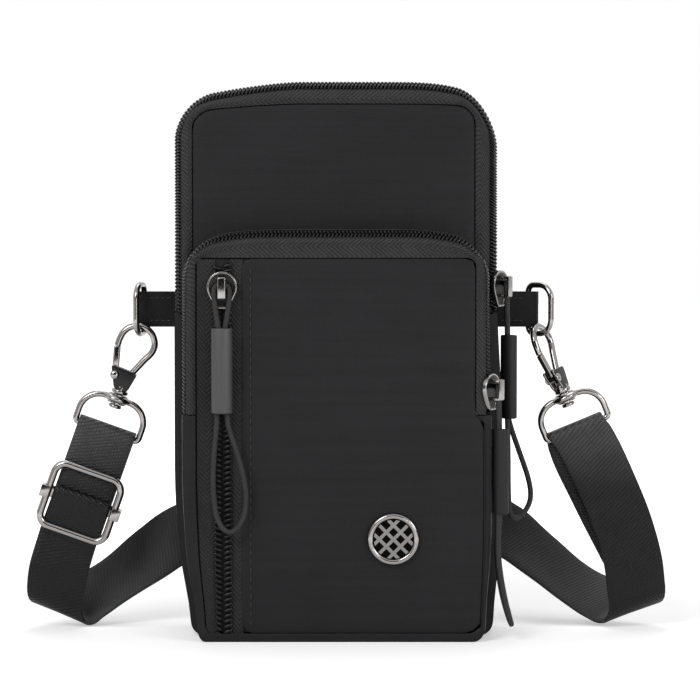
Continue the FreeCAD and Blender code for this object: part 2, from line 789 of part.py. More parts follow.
def make_zip_pulls():
    """The three sliders and their pulls: main zip, pocket zip and vertical zip."""
    rows = S.coil_row * 2
    main_y = divider_y + S.coil_row + S.clearance / 2
    pocket_y = front_y + S.coil_row
    front_x = (front_coil_left + front_coil_right) / 2
    make_slider("main_slider", rows + S.clearance, half_width, main_y, main_slider_z, 90)
    make_pull("main", half_width - pull_y, main_y, main_slider_z + pull_z, 90)
    make_slider("pocket_slider", rows, pocket_half, pocket_y, pocket_slider_z, 90)
    make_pull("pocket", pocket_half - pull_y, pocket_y, pocket_slider_z + pull_z, 90)
    make_slider("front_slider", S.front_zip_coil, front_x, front_coil_y, front_slider_z, 0)
    make_pull("front", front_x, front_coil_y + pull_y, front_slider_z + pull_z, 0)


tab_y = back_y - S.tab_back
tab_z = S.tab_height
ring_bar_x = half_width + S.tab_length
ring_foot = tab_z - S.ring_height / 2 + S.ring_wire / 2


def make_tab_and_ring(prefix, side, ring_turn):
    """Folded tab on the side seam, and the D ring whose bar lies in its fold."""
    tab = new_body(f"{prefix}_tab")
    fold = S.tab_thickness / 2
    section = new_sketch(tab, "XY_Plane")
    tip = S.tab_length + fold
    bend = fold * ROUNDING_SHARE
    draw_outline(section, [(0, -fold), (tip, -fold, bend), (tip, fold, bend), (0, fold)])
    draw_circle(section, S.tab_length, 0, S.ring_wire + S.clearance * 2)
    pad(tab, section, S.tab_width)
    turn = FreeCAD.Rotation(Vec(0, 0, 1), 0 if side > 0 else 180)
    place(tab, half_width * side, tab_y, tab_z - S.tab_width / 2, turn)

    ring = new_body(f"{prefix}_ring")
    tall = (S.ring_height - S.ring_wire) / 2
    deep = S.ring_depth - S.ring_wire
    bent_wire(ring, [
        (0, 0),
        (0, -tall, S.ring_bar_bend),
        (deep, -tall, S.ring_bow_bend),
        (deep, tall, S.ring_bow_bend),
        (0, tall, S.ring_bar_bend),
    ], S.ring_wire, closed=True)
    place(ring, ring_bar_x * side, tab_y, tab_z, FreeCAD.Rotation(Vec(0, 0, 1), ring_turn - 90))


def hook_frame(side, tilt, ring_turn):
    """Place of a swivel: the hook hangs on the ring's foot and leans by tilt."""
    out = math.radians(ring_turn)
    reach = float(S.ring_reach)
    hang = Vec(float(ring_bar_x) * side + reach * math.sin(out),
               float(tab_y) - reach * math.cos(out), float(ring_foot))
    rotation = FreeCAD.Rotation(Vec(0, 1, 0), tilt)
    eye = S.hook_length - S.hook_wire - S.clearance - S.ring_wire / 2
    nut = hang - rotation.multVec(Vec(0, 0, float(eye)))
    print(f"swivel at {[round(c, 2) for c in nut]}, hangs at {[round(c, 2) for c in hang]}")
    return FreeCAD.Placement(nut, rotation)


def make_hook(prefix, frame, hook_turn):
    """Trigger hook: bent wire on a swivel shank, cheeks, rivet and gate."""
    spun = frame.multiply(FreeCAD.Placement(Vec(), FreeCAD.Rotation(Vec(0, 0, 1), hook_turn)))
    half = (S.hook_width - S.hook_wire) / 2
    top = S.hook_length - S.hook_wire / 2
    collar_top = S.swivel_collar_height / 2 + S.clearance
    hook = new_body(f"{prefix}_hook")
    bent_wire(hook, [
        (0, -collar_top),
        (0, S.hook_neck, S.hook_bend * NECK_BEND_SHARE),
        (half, S.hook_shoulder, S.hook_bend * ROUNDING_SHARE),
        (half, top, S.hook_bend),
        (-half, top, S.hook_bend),
        (-half, S.gate_tip),
    ], S.hook_wire, closed=False)
    cheeks = new_sketch(hook, "XZ_Plane")
    wide = S.gate_pivot_x + S.gate_width * CHEEK_REACH_SHARE
    draw_outline(cheeks, [
        (-wide, S.gate_pivot_z - S.gate_width),
        (S.hook_wire / 2, collar_top + S.cheek_thickness, S.cheek_thickness),
        (S.hook_wire / 2, S.hook_neck + S.gate_width, S.cheek_thickness),
        (-wide, S.gate_pivot_z + S.gate_width),
    ])
    slot = S.gate_thickness + S.clearance * 2
    pad(hook, cheeks, slot + S.cheek_thickness * 2, symmetric=True)
    gap = new_sketch(hook, "XZ_Plane", slot / 2)
    inner = S.hook_wire / 2 + S.clearance
    draw_outline(gap, [
        (-wide - S.clearance, S.gate_pivot_z - S.gate_width * 2),
        (-inner, S.gate_pivot_z - S.gate_width * 2),
        (-inner, S.gate_pivot_z + S.gate_width * 2),
        (-wide - S.clearance, S.gate_pivot_z + S.gate_width * 2),
    ])
    pocket(hook, gap, slot)
    bore = new_sketch(hook, "XZ_Plane", slot)
    draw_circle(bore, -S.gate_pivot_x, S.gate_pivot_z, S.gate_rivet)
    pocket(hook, bore, slot * 2)
    for level, diameter, height in (
        (collar_top, S.swivel_collar * FLANGE_DISC_SHARE, S.cheek_thickness * 2),
        (-collar_top - S.swivel_head_height, S.swivel_head, S.swivel_head_height),
    ):
        disc = new_sketch(hook, "XY_Plane", level)
        draw_circle(disc, 0, 0, diameter)
        pad(hook, disc, height)
    hook.Placement = spun

    rivet = cylinder(f"{prefix}_rivet", S.gate_rivet, slot + S.cheek_thickness * 2)
    across = FreeCAD.Rotation(Vec(1, 0, 0), 90)
    start = Vec(-float(S.gate_pivot_x), float(slot / 2 + S.cheek_thickness), float(S.gate_pivot_z))
    rivet.Placement = spun.multiply(FreeCAD.Placement(start, across))
    parts.append(rivet)

    gate = new_body(f"{prefix}_gate")
    bar = new_sketch(gate, "XZ_Plane")
    thick = S.gate_width / 2
    tip = S.gate_tip - S.clearance * 2
    draw_outline(bar, [
        (-S.gate_pivot_x - thick, S.gate_pivot_z),
        (-S.gate_pivot_x + thick, S.gate_pivot_z),
        (-half + thick, tip),
        (-half - thick, tip, thick * ROUNDING_SHARE),
    ])
    pad(gate, bar, S.gate_thickness, symmetric=True)
    knuckle = new_sketch(gate, "XZ_Plane")
    draw_circle(knuckle, -S.gate_pivot_x, S.gate_pivot_z, S.gate_knuckle)
    pad(gate, knuckle, S.gate_thickness, symmetric=True)
    eye = new_sketch(gate, "XZ_Plane", S.gate_thickness)
    draw_circle(eye, -S.gate_pivot_x, S.gate_pivot_z, S.gate_rivet + S.clearance * 2)
    pocket(gate, eye, S.gate_thickness * 2)
    gate.Placement = spun
    pivot = spun.multVec(Vec(-float(S.gate_pivot_x), 0, float(S.gate_pivot_z)))
    axis = spun.Rotation.multVec(Vec(0, 1, 0))
    print(f"{prefix} gate pivot {[round(c, 3) for c in pivot]} axis {[round(c, 4) for c in axis]}")


def make_swivel_loop(prefix, frame):
    """Wire loop that carries the webbing, with the collar that the hook turns in."""
    body = new_body(f"{prefix}_loop")
    half = (S.loop_width - S.loop_wire) / 2
    start = S.swivel_collar * LOOP_START_SHARE
    bent_wire(body, [
        (start, 0),
        (half, 0, S.loop_shoulder_bend),
        (half, -S.loop_drop, S.loop_foot_bend),
        (-half, -S.loop_drop, S.loop_foot_bend),
        (-half, 0, S.loop_shoulder_bend),
        (-start, 0),
    ], S.loop_wire, closed=False, upright=False)
    collar = new_sketch(body, "XY_Plane")
    draw_circle(collar, 0, 0, S.swivel_collar)
    pad(body, collar, S.swivel_collar_height, symmetric=True)
    bore = new_sketch(body, "XY_Plane", S.swivel_collar_height)
    draw_circle(bore, 0, 0, S.hook_wire + S.clearance * 2)
    pocket(body, bore, S.swivel_collar_height * 2)
    body.Placement = frame


web_offset = S.loop_wire / 2 + S.web_slack + S.web_thickness / 2


def ribbon(stations):
    """Webbing through stations (middle, edge direction), with its face square to its run."""
    wide = float(S.web_width) / 2
    thick = float(S.web_thickness) / 2
    sections = []
    last = len(stations) - 1
    for i, (middle, edge) in enumerate(stations):
        run = stations[min(i + 1, last)][0] - stations[max(i - 1, 0)][0]
        face = run.cross(edge).normalize()
        edge = face.cross(run).normalize()
        sections.append([
            middle + edge * (wide * across) + face * (thick * proud)
            for across, proud in ((-1, -1), (1, -1), (1, 1), (-1, 1), (-1, -1))
        ])
    skin = [Part.Face(Part.makePolygon(sections[0])), Part.Face(Part.makePolygon(sections[-1]))]
    for near, far in zip(sections, sections[1:]):
        for corner in range(len(near) - 1):
            a, b, c, d = near[corner], near[corner + 1], far[corner + 1], far[corner]
            skin += [Part.Face(Part.makePolygon(ring)) for ring in ((a, b, c, a), (a, c, d, a))]
    solid = Part.Solid(Part.Shell(skin))
    solid.fix(float(S.web_slack), float(S.web_slack), float(S.web_slack))
    return solid


def strap_stations(frame, tail, route, end, side):
    """Sewn tail behind the loop's foot, the turn over it, the straight drop, the route, a level end."""
    bar = -float(S.loop_drop)
    off = float(web_offset)
    spots = [(off, bar - float(tail))]
    for angle in QUARTERS:
        turn = math.radians(angle)
        spots.append((off * math.cos(turn), bar + off * math.sin(turn)))
    spots.append((-off, bar - float(S.web_drop)))
    edge = frame.Rotation.multVec(Vec(1, 0, 0))
    stations = [(frame.multVec(Vec(0, y, z)), edge) for y, z in spots]
    stations += [(Vec(*row[:3]), Vec(*row[3:])) for row in route]
    lead = Vec(float(S.hank_pitch) * side, 0, 0)
    stations += [(end - lead, Vec(0, 0, -side)), (end, Vec(0, 0, -side))]
    return stations


hank_half = S.hank_length / 2
hank_middle = S.tie_thickness + S.web_slack + S.web_width / 2
hank_rear = S.hank_front + S.hank_pitch * (HANK_RUNS + 1)
hank_entry = hank_half - S.hank_pitch * HANK_ENTRY_SHARE


def hank_path():
    """Folded rest of the strap, seen from above: runs along X, one pitch apart, in one line."""
    radius = float(S.hank_pitch) / 2
    end = float(hank_half) - radius
    y = float(S.hank_front)
    side = 1
    edges = []
    start = Vec(float(hank_entry), y, 0)
    for _ in range(HANK_RUNS + 1):
        corner = Vec(end * side, y, 0)
        far = Vec(end * side, y + radius * 2, 0)
        edges.append(Part.LineSegment(start, corner).toShape())
        edges.append(Part.Arc(corner, Vec((end + radius) * side, y + radius, 0), far).toShape())
        start = far
        y += radius * 2
        side = -side
    edges.append(Part.LineSegment(start, Vec(-float(hank_entry), y, 0)).toShape())
    return Part.Wire(edges)


def make_strap(left_frame, right_frame):
    """Two ends of the shoulder strap, the folded hank between them and its tie."""
    level = float(hank_middle)
    left_end = Vec(float(hank_entry), float(S.hank_front), level)
    left = ribbon(strap_stations(left_frame, S.left_return, LEFT_ROUTE, left_end, 1))
    shape_part("strap_left", left)
    right_end = Vec(-float(hank_entry), float(hank_rear), level)
    right = ribbon(strap_stations(right_frame, S.right_return, RIGHT_ROUTE, right_end, -1))
    shape_part("strap_right", right)

    path = hank_path()
    thick = float(S.web_thickness)
    start = path.OrderedVertexes[0].Point
    section = Part.makePolygon([
        start + Vec(0, thick * across / 2, level + float(S.web_width) * up / 2)
        for across, up in ((-1, -1), (1, -1), (1, 1), (-1, 1), (-1, -1))
    ])
    path.translate(Vec(0, 0, level))
    hank = path.makePipeShell([section], True, True)
    print(f"hank {path.Length:.0f} mm, least gap to itself {float(S.hank_pitch) - thick:.1f} mm, "
          f"volume {hank.Volume / (path.Length * thick * float(S.web_width)):.4f}")
    shape_part("strap_hank", hank)

    tie = new_body("strap_tie")
    section = new_sketch(tie, "YZ_Plane")
    gap = S.web_thickness / 2 + S.web_slack
    near = S.hank_front + S.hank_pitch - gap
    far = hank_rear - S.hank_pitch + gap
    high = S.tie_thickness + S.web_slack * 2 + S.web_width
    wall_size = S.tie_thickness
    draw_outline(section, [
        (near - wall_size, 0),
        (far + wall_size, 0),
        (far + wall_size, high + wall_size),
        (near - wall_size, high + wall_size),
    ])
    draw_outline(section, [(near, wall_size), (far, wall_size), (far, high), (near, high)])
    pad(tie, section, S.tie_width, symmetric=True)


def make_buckle(frame):
    """Adjuster on the left drop: a wire frame before the webbing, and its bar between the layers."""
    half = (S.buckle_width - S.buckle_wire) / 2
    tall = (S.buckle_height - S.buckle_wire) / 2
    rail_y = -(web_offset + S.web_thickness / 2 + S.clearance + S.buckle_wire / 2)
    middle = frame.multiply(FreeCAD.Placement(Vec(0, 0, -float(S.loop_drop + S.buckle_drop)),
                                              FreeCAD.Rotation()))
    body = new_body("buckle_frame")
    bent_wire(body, [
        (half, 0),
        (half, tall, S.buckle_bend),
        (-half, tall, S.buckle_bend),
        (-half, -tall, S.buckle_bend),
        (half, -tall, S.buckle_bend),
    ], S.buckle_wire, closed=True)
    body.Placement = middle.multiply(FreeCAD.Placement(Vec(0, float(rail_y), 0), FreeCAD.Rotation()))

    bar = new_body("buckle_bar")
    section = new_sketch(bar, "XY_Plane")
    thick = S.buckle_bar_thickness / 2
    hole = S.buckle_wire + S.clearance * 2
    outer = half + hole / 2 + S.cheek_thickness
    lip = half - S.buckle_wire * CLIP_LIP_SHARE
    front = rail_y - hole / 2 - S.cheek_thickness
    draw_outline(section, [
        (-outer, thick),
        (-outer, front),
        (-lip, front),
        (-lip, -thick),
        (lip, -thick),
        (lip, front),
        (outer, front),
        (outer, thick),
    ])
    pad(bar, section, S.buckle_bar_height, symmetric=True)
    bores = new_sketch(bar, "XY_Plane", S.buckle_bar_height)
    for side in (-1, 1):
        draw_circle(bores, half * side, rail_y, hole)
    pocket(bar, bores, S.buckle_bar_height * 2)
    bar.Placement = middle
    print(f"buckle middle {[round(c, 3) for c in middle.Base]}")


make_main_compartment()
make_mouth_flap()
make_front_pocket()
make_badge()
make_zip_pulls()
make_tab_and_ring("left", -1, LEFT_RING_TURN)
make_tab_and_ring("right", 1, RIGHT_RING_TURN)
left_swivel = hook_frame(-1, LEFT_TILT, LEFT_RING_TURN)
right_swivel = hook_frame(1, RIGHT_TILT, RIGHT_RING_TURN)
make_hook("left", left_swivel, 0)
make_hook("right", right_swivel, RIGHT_HOOK_TURN)
make_swivel_loop("left", left_swivel)
make_swivel_loop("right", right_swivel)
make_strap(left_swivel, right_swivel)
make_buckle(left_swivel)
doc.recompute()

faults = [item.Name for item in doc.Objects if "Invalid" in item.State or "Error" in item.State]
for item in parts:
    if item.Shape.isNull() or not item.Shape.isValid() or not item.Shape.Solids:
        faults.append(item.Label)
if faults:
    raise RuntimeError(f"failed pieces: {faults}")
os.makedirs("parts", exist_ok=True)
for item in parts:
    item.Shape.exportStep(f"parts/{item.Label}.step")
print(f"{len(parts)} parts")
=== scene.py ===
# %% [markdown]
# # Dressing a zipped phone pouch
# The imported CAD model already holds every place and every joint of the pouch. This lesson loads it as a
# fixed frame and sews the looks round it: cloth, zips, cords, webbing and polished metal.
# Lengths in the text are millimetres, because a bag maker thinks in them, and MM turns them into metres.

# %% Load the frame
import json
import math

import bmesh
import bpy
import numpy as np
from mathutils import Matrix, Vector, noise


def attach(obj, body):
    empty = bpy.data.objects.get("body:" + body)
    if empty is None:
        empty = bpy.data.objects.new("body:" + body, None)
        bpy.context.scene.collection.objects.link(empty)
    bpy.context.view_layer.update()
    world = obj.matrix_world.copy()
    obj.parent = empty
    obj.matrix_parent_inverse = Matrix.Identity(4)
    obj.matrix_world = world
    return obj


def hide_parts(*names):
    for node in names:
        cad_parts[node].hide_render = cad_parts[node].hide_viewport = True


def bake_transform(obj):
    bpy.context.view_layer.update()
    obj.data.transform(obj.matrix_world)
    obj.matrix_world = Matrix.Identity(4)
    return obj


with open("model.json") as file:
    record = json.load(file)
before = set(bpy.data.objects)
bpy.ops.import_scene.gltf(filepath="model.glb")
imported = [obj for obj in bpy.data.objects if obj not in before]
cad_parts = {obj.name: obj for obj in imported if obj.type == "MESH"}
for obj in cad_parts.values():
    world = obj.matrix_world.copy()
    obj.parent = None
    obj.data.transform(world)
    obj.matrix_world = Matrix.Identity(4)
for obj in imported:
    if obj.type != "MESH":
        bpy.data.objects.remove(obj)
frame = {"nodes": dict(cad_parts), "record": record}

MM = 0.001
UPRIGHT = (math.pi / 2, 0, 0)
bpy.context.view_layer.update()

# %% [markdown]
# ## Camera
# A catalogue picture is taken from far away with a long lens, a little above the middle of the bag, so
# the sides hardly converge. The lens follows from the distance and from the width that the frame shows.

# %% Camera
AIM = Vector((4.7, -22.0, 96.6)) * MM
LOOK_DOWN = math.radians(2.5)
DISTANCE = 0.95
FRAME_WIDTH = 0.2301
SENSOR = 36.0
away = Vector((0, -math.cos(LOOK_DOWN), math.sin(LOOK_DOWN)))
bpy.ops.object.select_all(action="DESELECT")
bpy.ops.object.camera_add(location=AIM + away * DISTANCE, rotation=(math.pi / 2 - LOOK_DOWN, 0, 0))
camera = bpy.context.object
camera.data.lens = SENSOR * DISTANCE / FRAME_WIDTH
camera.data.sensor_width = SENSOR
scene = bpy.context.scene
scene.camera = camera
print("lens", round(camera.data.lens, 1))

# %% [markdown]
# ## Node trees
# Floor, sky and every finish are small node trees. Two helpers build them: one adds nodes and ties them
# together, the other starts a material and sets its shader.

# %% Helpers that build node trees
FINISHES = {}


class Nodes:
    """A node tree in the making."""

    def __init__(self, tree):
        self.tree = tree

    def tie(self, node, socket, value):
        """Give an input a plain value or another node's output."""
        target = node.inputs[socket]
        if isinstance(value, bpy.types.NodeSocket):
            self.tree.links.new(value, target)
        elif target.type == "RGBA":
            target.default_value = (*value, 1)
        else:
            target.default_value = value

    def add(self, kind, inputs=None, output=0, **settings):
        node = self.tree.nodes.new(f"ShaderNode{kind}")
        for key, value in settings.items():
            setattr(node, key, value)
        for socket, value in (inputs or {}).items():
            self.tie(node, socket, value)
        return node.outputs[output]

    def math(self, operation, *values):
        return self.add("Math", dict(enumerate(values)), operation=operation)

    def split(self, vector):
        """The three numbers of a vector."""
        node = self.tree.nodes.new("ShaderNodeSeparateXYZ")
        self.tie(node, 0, vector)
        return list(node.outputs)

    def looked_at(self):
        """1 for rays from the camera, off mirrors and through clear things, 0 for the rest of the light."""
        rays = self.tree.nodes.new("ShaderNodeLightPath").outputs
        mirrored = self.math("MAXIMUM", rays["Is Glossy Ray"], rays["Is Transmission Ray"])
        return self.math("MAXIMUM", rays["Is Camera Ray"], mirrored)


class Finish(Nodes):
    """A material in the making, with sockets of its shader as arguments."""

    def __init__(self, name, **sockets):
        self.material = FINISHES[name] = bpy.data.materials.new(name)
        self.material.use_nodes = True
        super().__init__(self.material.node_tree)
        self.shade(**sockets)

    def shade(self, **sockets):
        for socket, value in sockets.items():
            title = socket.replace("_", " ").title().replace("Ior", "IOR")
            self.tie(self.tree.nodes["Principled BSDF"], title, value)

    def place(self):
        return self.add("TexCoord", output="Object")

    def sum(self, first, share, second, other_share):
        """The first number times its share plus the second times the other share."""
        return self.math("MULTIPLY_ADD", first, share, self.math("MULTIPLY", second, other_share))

    def cloud(self, place, scale, detail):
        return self.add("TexNoise", {"Vector": place, "Scale": scale, "Detail": detail})

    def mix(self, share, low, high):
        """Colour between low and high."""
        return self.add("Mix", {0: share, 6: low, 7: high}, 2, data_type="RGBA")

    def bump(self, height, depth, strength):
        self.shade(normal=self.add("Bump", {"Height": height, "Distance": depth * MM, "Strength": strength}))


print("node helpers ready")

# %% [markdown]
# ## Light and floor
# Black cloth and bright metal want large, soft lamps: one key from the upper left, weaker ones from the
# front and the right, and one from above and behind for the edges. The world is white where the camera or
# a mirror looks at it, and a quiet grey as a light. The floor is pale and catches the shadow.

# %% Lamps
# Each lamp has a place and a size in metres, and a strength in watts.
LAMPS = {
    "key": ((-0.55, -0.95, 0.85), 0.55, 8.0),
    "front": ((0.45, -1.3, 0.2), 0.3, 1.2),
    "fill": ((0.9, -0.8, 0.55), 0.45, 4.0),
    "top": ((0.0, 0.35, 1.1), 0.7, 4.0),
}
for lamp_name, (place, size, watts) in LAMPS.items():
    towards = (AIM - Vector(place)).to_track_quat("-Z", "Y").to_euler()
    bpy.ops.object.light_add(type="AREA", location=place, rotation=towards)
    lamp = bpy.context.object
    lamp.name = f"{lamp_name}_lamp"
    lamp.data.size = size
    lamp.data.energy = watts
print(len(LAMPS), "lamps")

# %% Dark cards
# A round wire in an all-white room looks flat. Dark cards that only mirrors see draw its edges.
# Each card has a place in metres, a turn in degrees and a size in metres.
CARDS = {
    "left_card": ((-0.75, -0.45, 0.12), 55, 0.6),
    "right_card": ((0.75, -0.3, 0.12), -65, 0.6),
    "front_card": ((0.0, -1.7, 0.3), 0, 1.7),
}
for card_name, (place, turn, size) in CARDS.items():
    bpy.ops.mesh.primitive_plane_add(size=size, location=place, rotation=(math.pi / 2, 0, math.radians(turn)))
    card = bpy.context.object
    card.name = card_name
    card.data.materials.append(Finish(card_name, base_color=(0.01, 0.01, 0.01), roughness=1.0).material)
    card.visible_camera = card.visible_diffuse = card.visible_shadow = False
print(len(CARDS), "cards")

# %% World
WHITE = (1.0, 1.0, 1.0)
scene.view_settings.view_transform = "Standard"
scene.world = bpy.data.worlds.new("studio")
scene.world.use_nodes = True
sky = Nodes(scene.world.node_tree)
quiet = sky.tree.nodes["Background"]
sky.tie(quiet, "Color", WHITE)
sky.tie(quiet, "Strength", 0.35)
bright = sky.add("Background", {"Color": WHITE})
shown = sky.add("MixShader", {0: sky.looked_at(), 1: quiet.outputs[0], 2: bright})
sky.tie(sky.tree.nodes["World Output"], "Surface", shown)
print("white world")

# %% Floor
# The paper glows for the camera and for mirrors, less near the pouch, so that it keeps a soft shadow.
bpy.ops.mesh.primitive_plane_add(size=8)
floor = bpy.context.object
floor.name = "studio_floor"
paper = Finish("floor_paper", base_color=(0.82, 0.82, 0.82), roughness=0.9, specular_ior_level=0.0,
               emission_color=WHITE)
floor.data.materials.append(paper.material)
apart = paper.add("VectorMath", {0: paper.place()}, "Value", operation="LENGTH")
near_to_far = {"Value": apart, "From Min": 0.12, "From Max": 0.4, "To Min": 0.38, "To Max": 1.0}
fade = paper.add("MapRange", near_to_far, interpolation_type="SMOOTHSTEP")
paper.shade(emission_strength=paper.math("MULTIPLY", paper.looked_at(), fade))
print("floor at z 0")

# %% [markdown]
# ## Finishes
# Cloth gets its threads from waves on Object coordinates, so no picture is needed. Tapes, webbing and cords
# bend, so their patterns read an attribute named "lie" that says how far along and across the strip a
# point lies.
#
# ### Shell cloth
# The shell is a fine, dense nylon with a quiet sheen. Its weft shows as faint level lines. A woven look
# is two waves, one per thread direction, that bump the surface and shift the colour a little, with a
# broad cloud on top because no cloth is evenly dark.

# %% Shell cloth and lining
def thread_wave(finish, coordinate, pitch):
    """Smooth 0 to 1 wave along one coordinate in metres, one crest every pitch millimetres."""
    turns = finish.math("MULTIPLY", coordinate, 2 * math.pi / (pitch * MM))
    return finish.math("MULTIPLY_ADD", finish.math("SINE", turns), 0.5, 0.5)


def woven_cloth(name, dark, pale, pitch, roughness):
    finish = Finish(name, roughness=roughness, specular_ior_level=0.14, sheen_weight=0.05,
                    sheen_roughness=0.4)
    place = finish.place()
    x, y, z = finish.split(place)
    weft = thread_wave(finish, z, pitch)
    warp = thread_wave(finish, finish.math("ADD", x, y), pitch * 0.8)
    fleck = finish.cloud(place, 1400.0, 1.0)
    drawn = finish.add("VectorMath", {0: place, 1: (0.03, 0.03, 1.0)}, operation="MULTIPLY")
    streak = finish.cloud(drawn, 620.0, 2.0)
    threads = finish.sum(warp, 0.35, weft, 0.65)
    woven = finish.sum(streak, 0.6, threads, 0.2)
    tone = finish.sum(finish.cloud(place, 45.0, 3.0), 0.4, woven, 0.75)
    finish.shade(base_color=finish.mix(tone, dark, pale))
    height = finish.math("MULTIPLY_ADD", fleck, 0.3, finish.math("MULTIPLY_ADD", streak, 0.6, threads))
    finish.bump(height, 0.07, 0.5)


woven_cloth("shell_cloth", (0.006, 0.006, 0.0066), (0.02, 0.02, 0.0218), 0.75, 0.5)
woven_cloth("tab_cloth", (0.003, 0.003, 0.0033), (0.011, 0.011, 0.012), 0.6, 0.5)
woven_cloth("lining_cloth", (0.008, 0.008, 0.0085), (0.015, 0.015, 0.016), 0.5, 0.6)
print("finishes", sorted(FINISHES))

# %% [markdown]
# ### Strips: zip tape, webbing and cord
# Zip tape is woven in a herringbone: slanting ribs that change direction across the strip. Webbing has
# slanting ribs one way, broken by its warp. A braided cord shows crossing ribs round its length. All three
# are waves over the along and across numbers of the strip.

# %% Strip finishes
# Heights in metres over which the webbing turns to its lighter, painted sheen.
PAINTED_SHEEN_BAND = (0.048, 0.068)


def strip_finish(name, dark, pale, roughness, pattern, depth, painted_sheen=None, **sockets):
    """A strip with ribs from dark to pale, and if given, a lighter tone painted high up where the strap is
    doubled: a painted sheen.
    """
    finish = Finish(name, roughness=roughness, **sockets)
    along, across, _ = finish.split(finish.add("Attribute", output="Vector", attribute_name="lie"))
    place = finish.place()
    fuzz = finish.math("MULTIPLY_ADD", finish.cloud(place, 1500.0, 2.0), 1.2, 0.2)
    ribs = finish.math("MULTIPLY", pattern(finish, along, across), fuzz)
    tone = finish.sum(finish.cloud(place, 160.0, 3.0), 0.4, ribs, 0.6)
    color = finish.mix(tone, dark, pale)
    # Painted sheen: the colour turns lighter with height over the band.
    if painted_sheen is not None:
        low, high = PAINTED_SHEEN_BAND
        share = finish.add("MapRange", {"Value": finish.split(place)[2], "From Min": low, "From Max": high})
        color = finish.mix(share, color, finish.mix(tone, pale, painted_sheen))
    finish.shade(base_color=color)
    finish.bump(ribs, depth, 0.8)


def herringbone(finish, along, across):
    """Ribs that slant one way in one 3.2 mm band and the other way in the next."""
    fold = finish.math("PINGPONG", across, 3.2 * MM)
    drifted = finish.math("MULTIPLY_ADD", finish.cloud(finish.place(), 330.0, 2.0), 1.3 * MM, along)
    return thread_wave(finish, finish.math("MULTIPLY_ADD", fold, 1.2, drifted), 1.6)


def twill(finish, along, across):
    """Slanting ribs across the webbing, broken by the warp."""
    rib = thread_wave(finish, finish.math("MULTIPLY_ADD", across, 0.45, along), 1.2)
    warp = thread_wave(finish, across, 0.9)
    return finish.sum(rib, 0.7, warp, 0.3)


def braid(finish, along, across):
    """Two sets of strands that cross round the cord."""
    there = thread_wave(finish, finish.math("ADD", along, across), 0.9)
    back = thread_wave(finish, finish.math("SUBTRACT", along, across), 0.9)
    return finish.math("MAXIMUM", there, back)


strip_finish("zip_tape", (0.004, 0.004, 0.0042), (0.05, 0.05, 0.0525), 0.65, herringbone, 0.28,
             specular_ior_level=0.2, sheen_weight=0.08)
strip_finish("upright_zip_tape", (0.004, 0.004, 0.0042), (0.028, 0.028, 0.029), 0.65, herringbone, 0.25,
             specular_ior_level=0.2, sheen_weight=0.05)
# The webbing is painted lighter high up: a painted sheen.
strip_finish("webbing", (0.002, 0.002, 0.0022), (0.013, 0.013, 0.0138), 0.34, twill, 0.2,
             painted_sheen=(0.09, 0.09, 0.094), specular_ior_level=0.2)
# Paler webbing for the inner face of the rear bands: painted light.
strip_finish("webbing_painted_light", (0.016, 0.016, 0.0165), (0.05, 0.05, 0.052), 0.5, twill, 0.08,
             specular_ior_level=0.2)
strip_finish("pull_cord", (0.006, 0.006, 0.006), (0.048, 0.048, 0.048), 0.7, braid, 0.2,
             specular_ior_level=0.3)
print("strip finishes ready")

# %% [markdown]
# ### Hard finishes
# The fittings are polished gunmetal: a dark mirror with fine handling marks. The zip coils are smooth
# nylon, the sleeves a satin rubber with a dusty grain, and the badge has a smooth black ground.

# %% Hard finishes
def speckled(name, color, rough_low, rough_high, scale, depth, **sockets):
    finish = Finish(name, base_color=color, **sockets)
    marks = finish.cloud(finish.place(), scale, 4.0)
    spread = {"Value": marks, "To Min": rough_low, "To Max": rough_high}
    finish.shade(roughness=finish.add("MapRange", spread))
    finish.bump(marks, depth, 0.3)


speckled("gunmetal", (0.3, 0.285, 0.275), 0.08, 0.2, 900.0, 0.006, metallic=1.0)
speckled("zip_coil", (0.002, 0.002, 0.0022), 0.2, 0.4, 1500.0, 0.02, specular_ior_level=0.28)
speckled("sleeve_rubber", (0.05, 0.05, 0.051), 0.42, 0.58, 2600.0, 0.03, specular_ior_level=0.5)
# The front and side sleeves share one rubber in a lit and a shaded copy; the side copy is painted darker:
# painted shade.
speckled("sleeve_rubber_painted_shade", (0.013, 0.013, 0.0135), 0.42, 0.58, 2600.0, 0.03, specular_ior_level=0.25)
# Much darker metal for the slider's sunk face and the hook's outer cheeks: a painted dark reflection.
speckled("metal_painted_dark_reflection", (0.03, 0.029, 0.029), 0.25, 0.45, 900.0, 0.01, metallic=1.0)
speckled("badge_black", (0.002, 0.002, 0.002), 0.2, 0.35, 700.0, 0.002, specular_ior_level=0.03)
speckled("badge_metal", (0.17, 0.165, 0.16), 0.1, 0.22, 900.0, 0.006, metallic=1.0)
speckled("sewing_thread", (0.034, 0.034, 0.035), 0.5, 0.7, 3000.0, 0.02, specular_ior_level=0.3)
print("hard finishes ready")

# %% [markdown]
# ## Hands: the few moves that every piece needs
# Modelling by script goes best with a handful of small tools: make a simple body, pick points by their
# place, apply modifiers, and hand a finished piece over to the body that it rides on.

# %% Making and editing tools
UNIT = {
    "plane": {"size": 1}, "grid": {"size": 1}, "cube": {"size": 1}, "circle": {"radius": 0.5},
    "cylinder": {"radius": 0.5, "depth": 1}, "uv_sphere": {"radius": 0.5},
}


def deselect():
    if bpy.context.object is not None and bpy.context.object.mode != "OBJECT":
        bpy.ops.object.mode_set(mode="OBJECT")
    bpy.ops.object.select_all(action="DESELECT")


def take(obj):
    """Make one object the only selected and active one."""
    deselect()
    bpy.context.view_layer.objects.active = obj
    obj.select_set(True)
    return obj


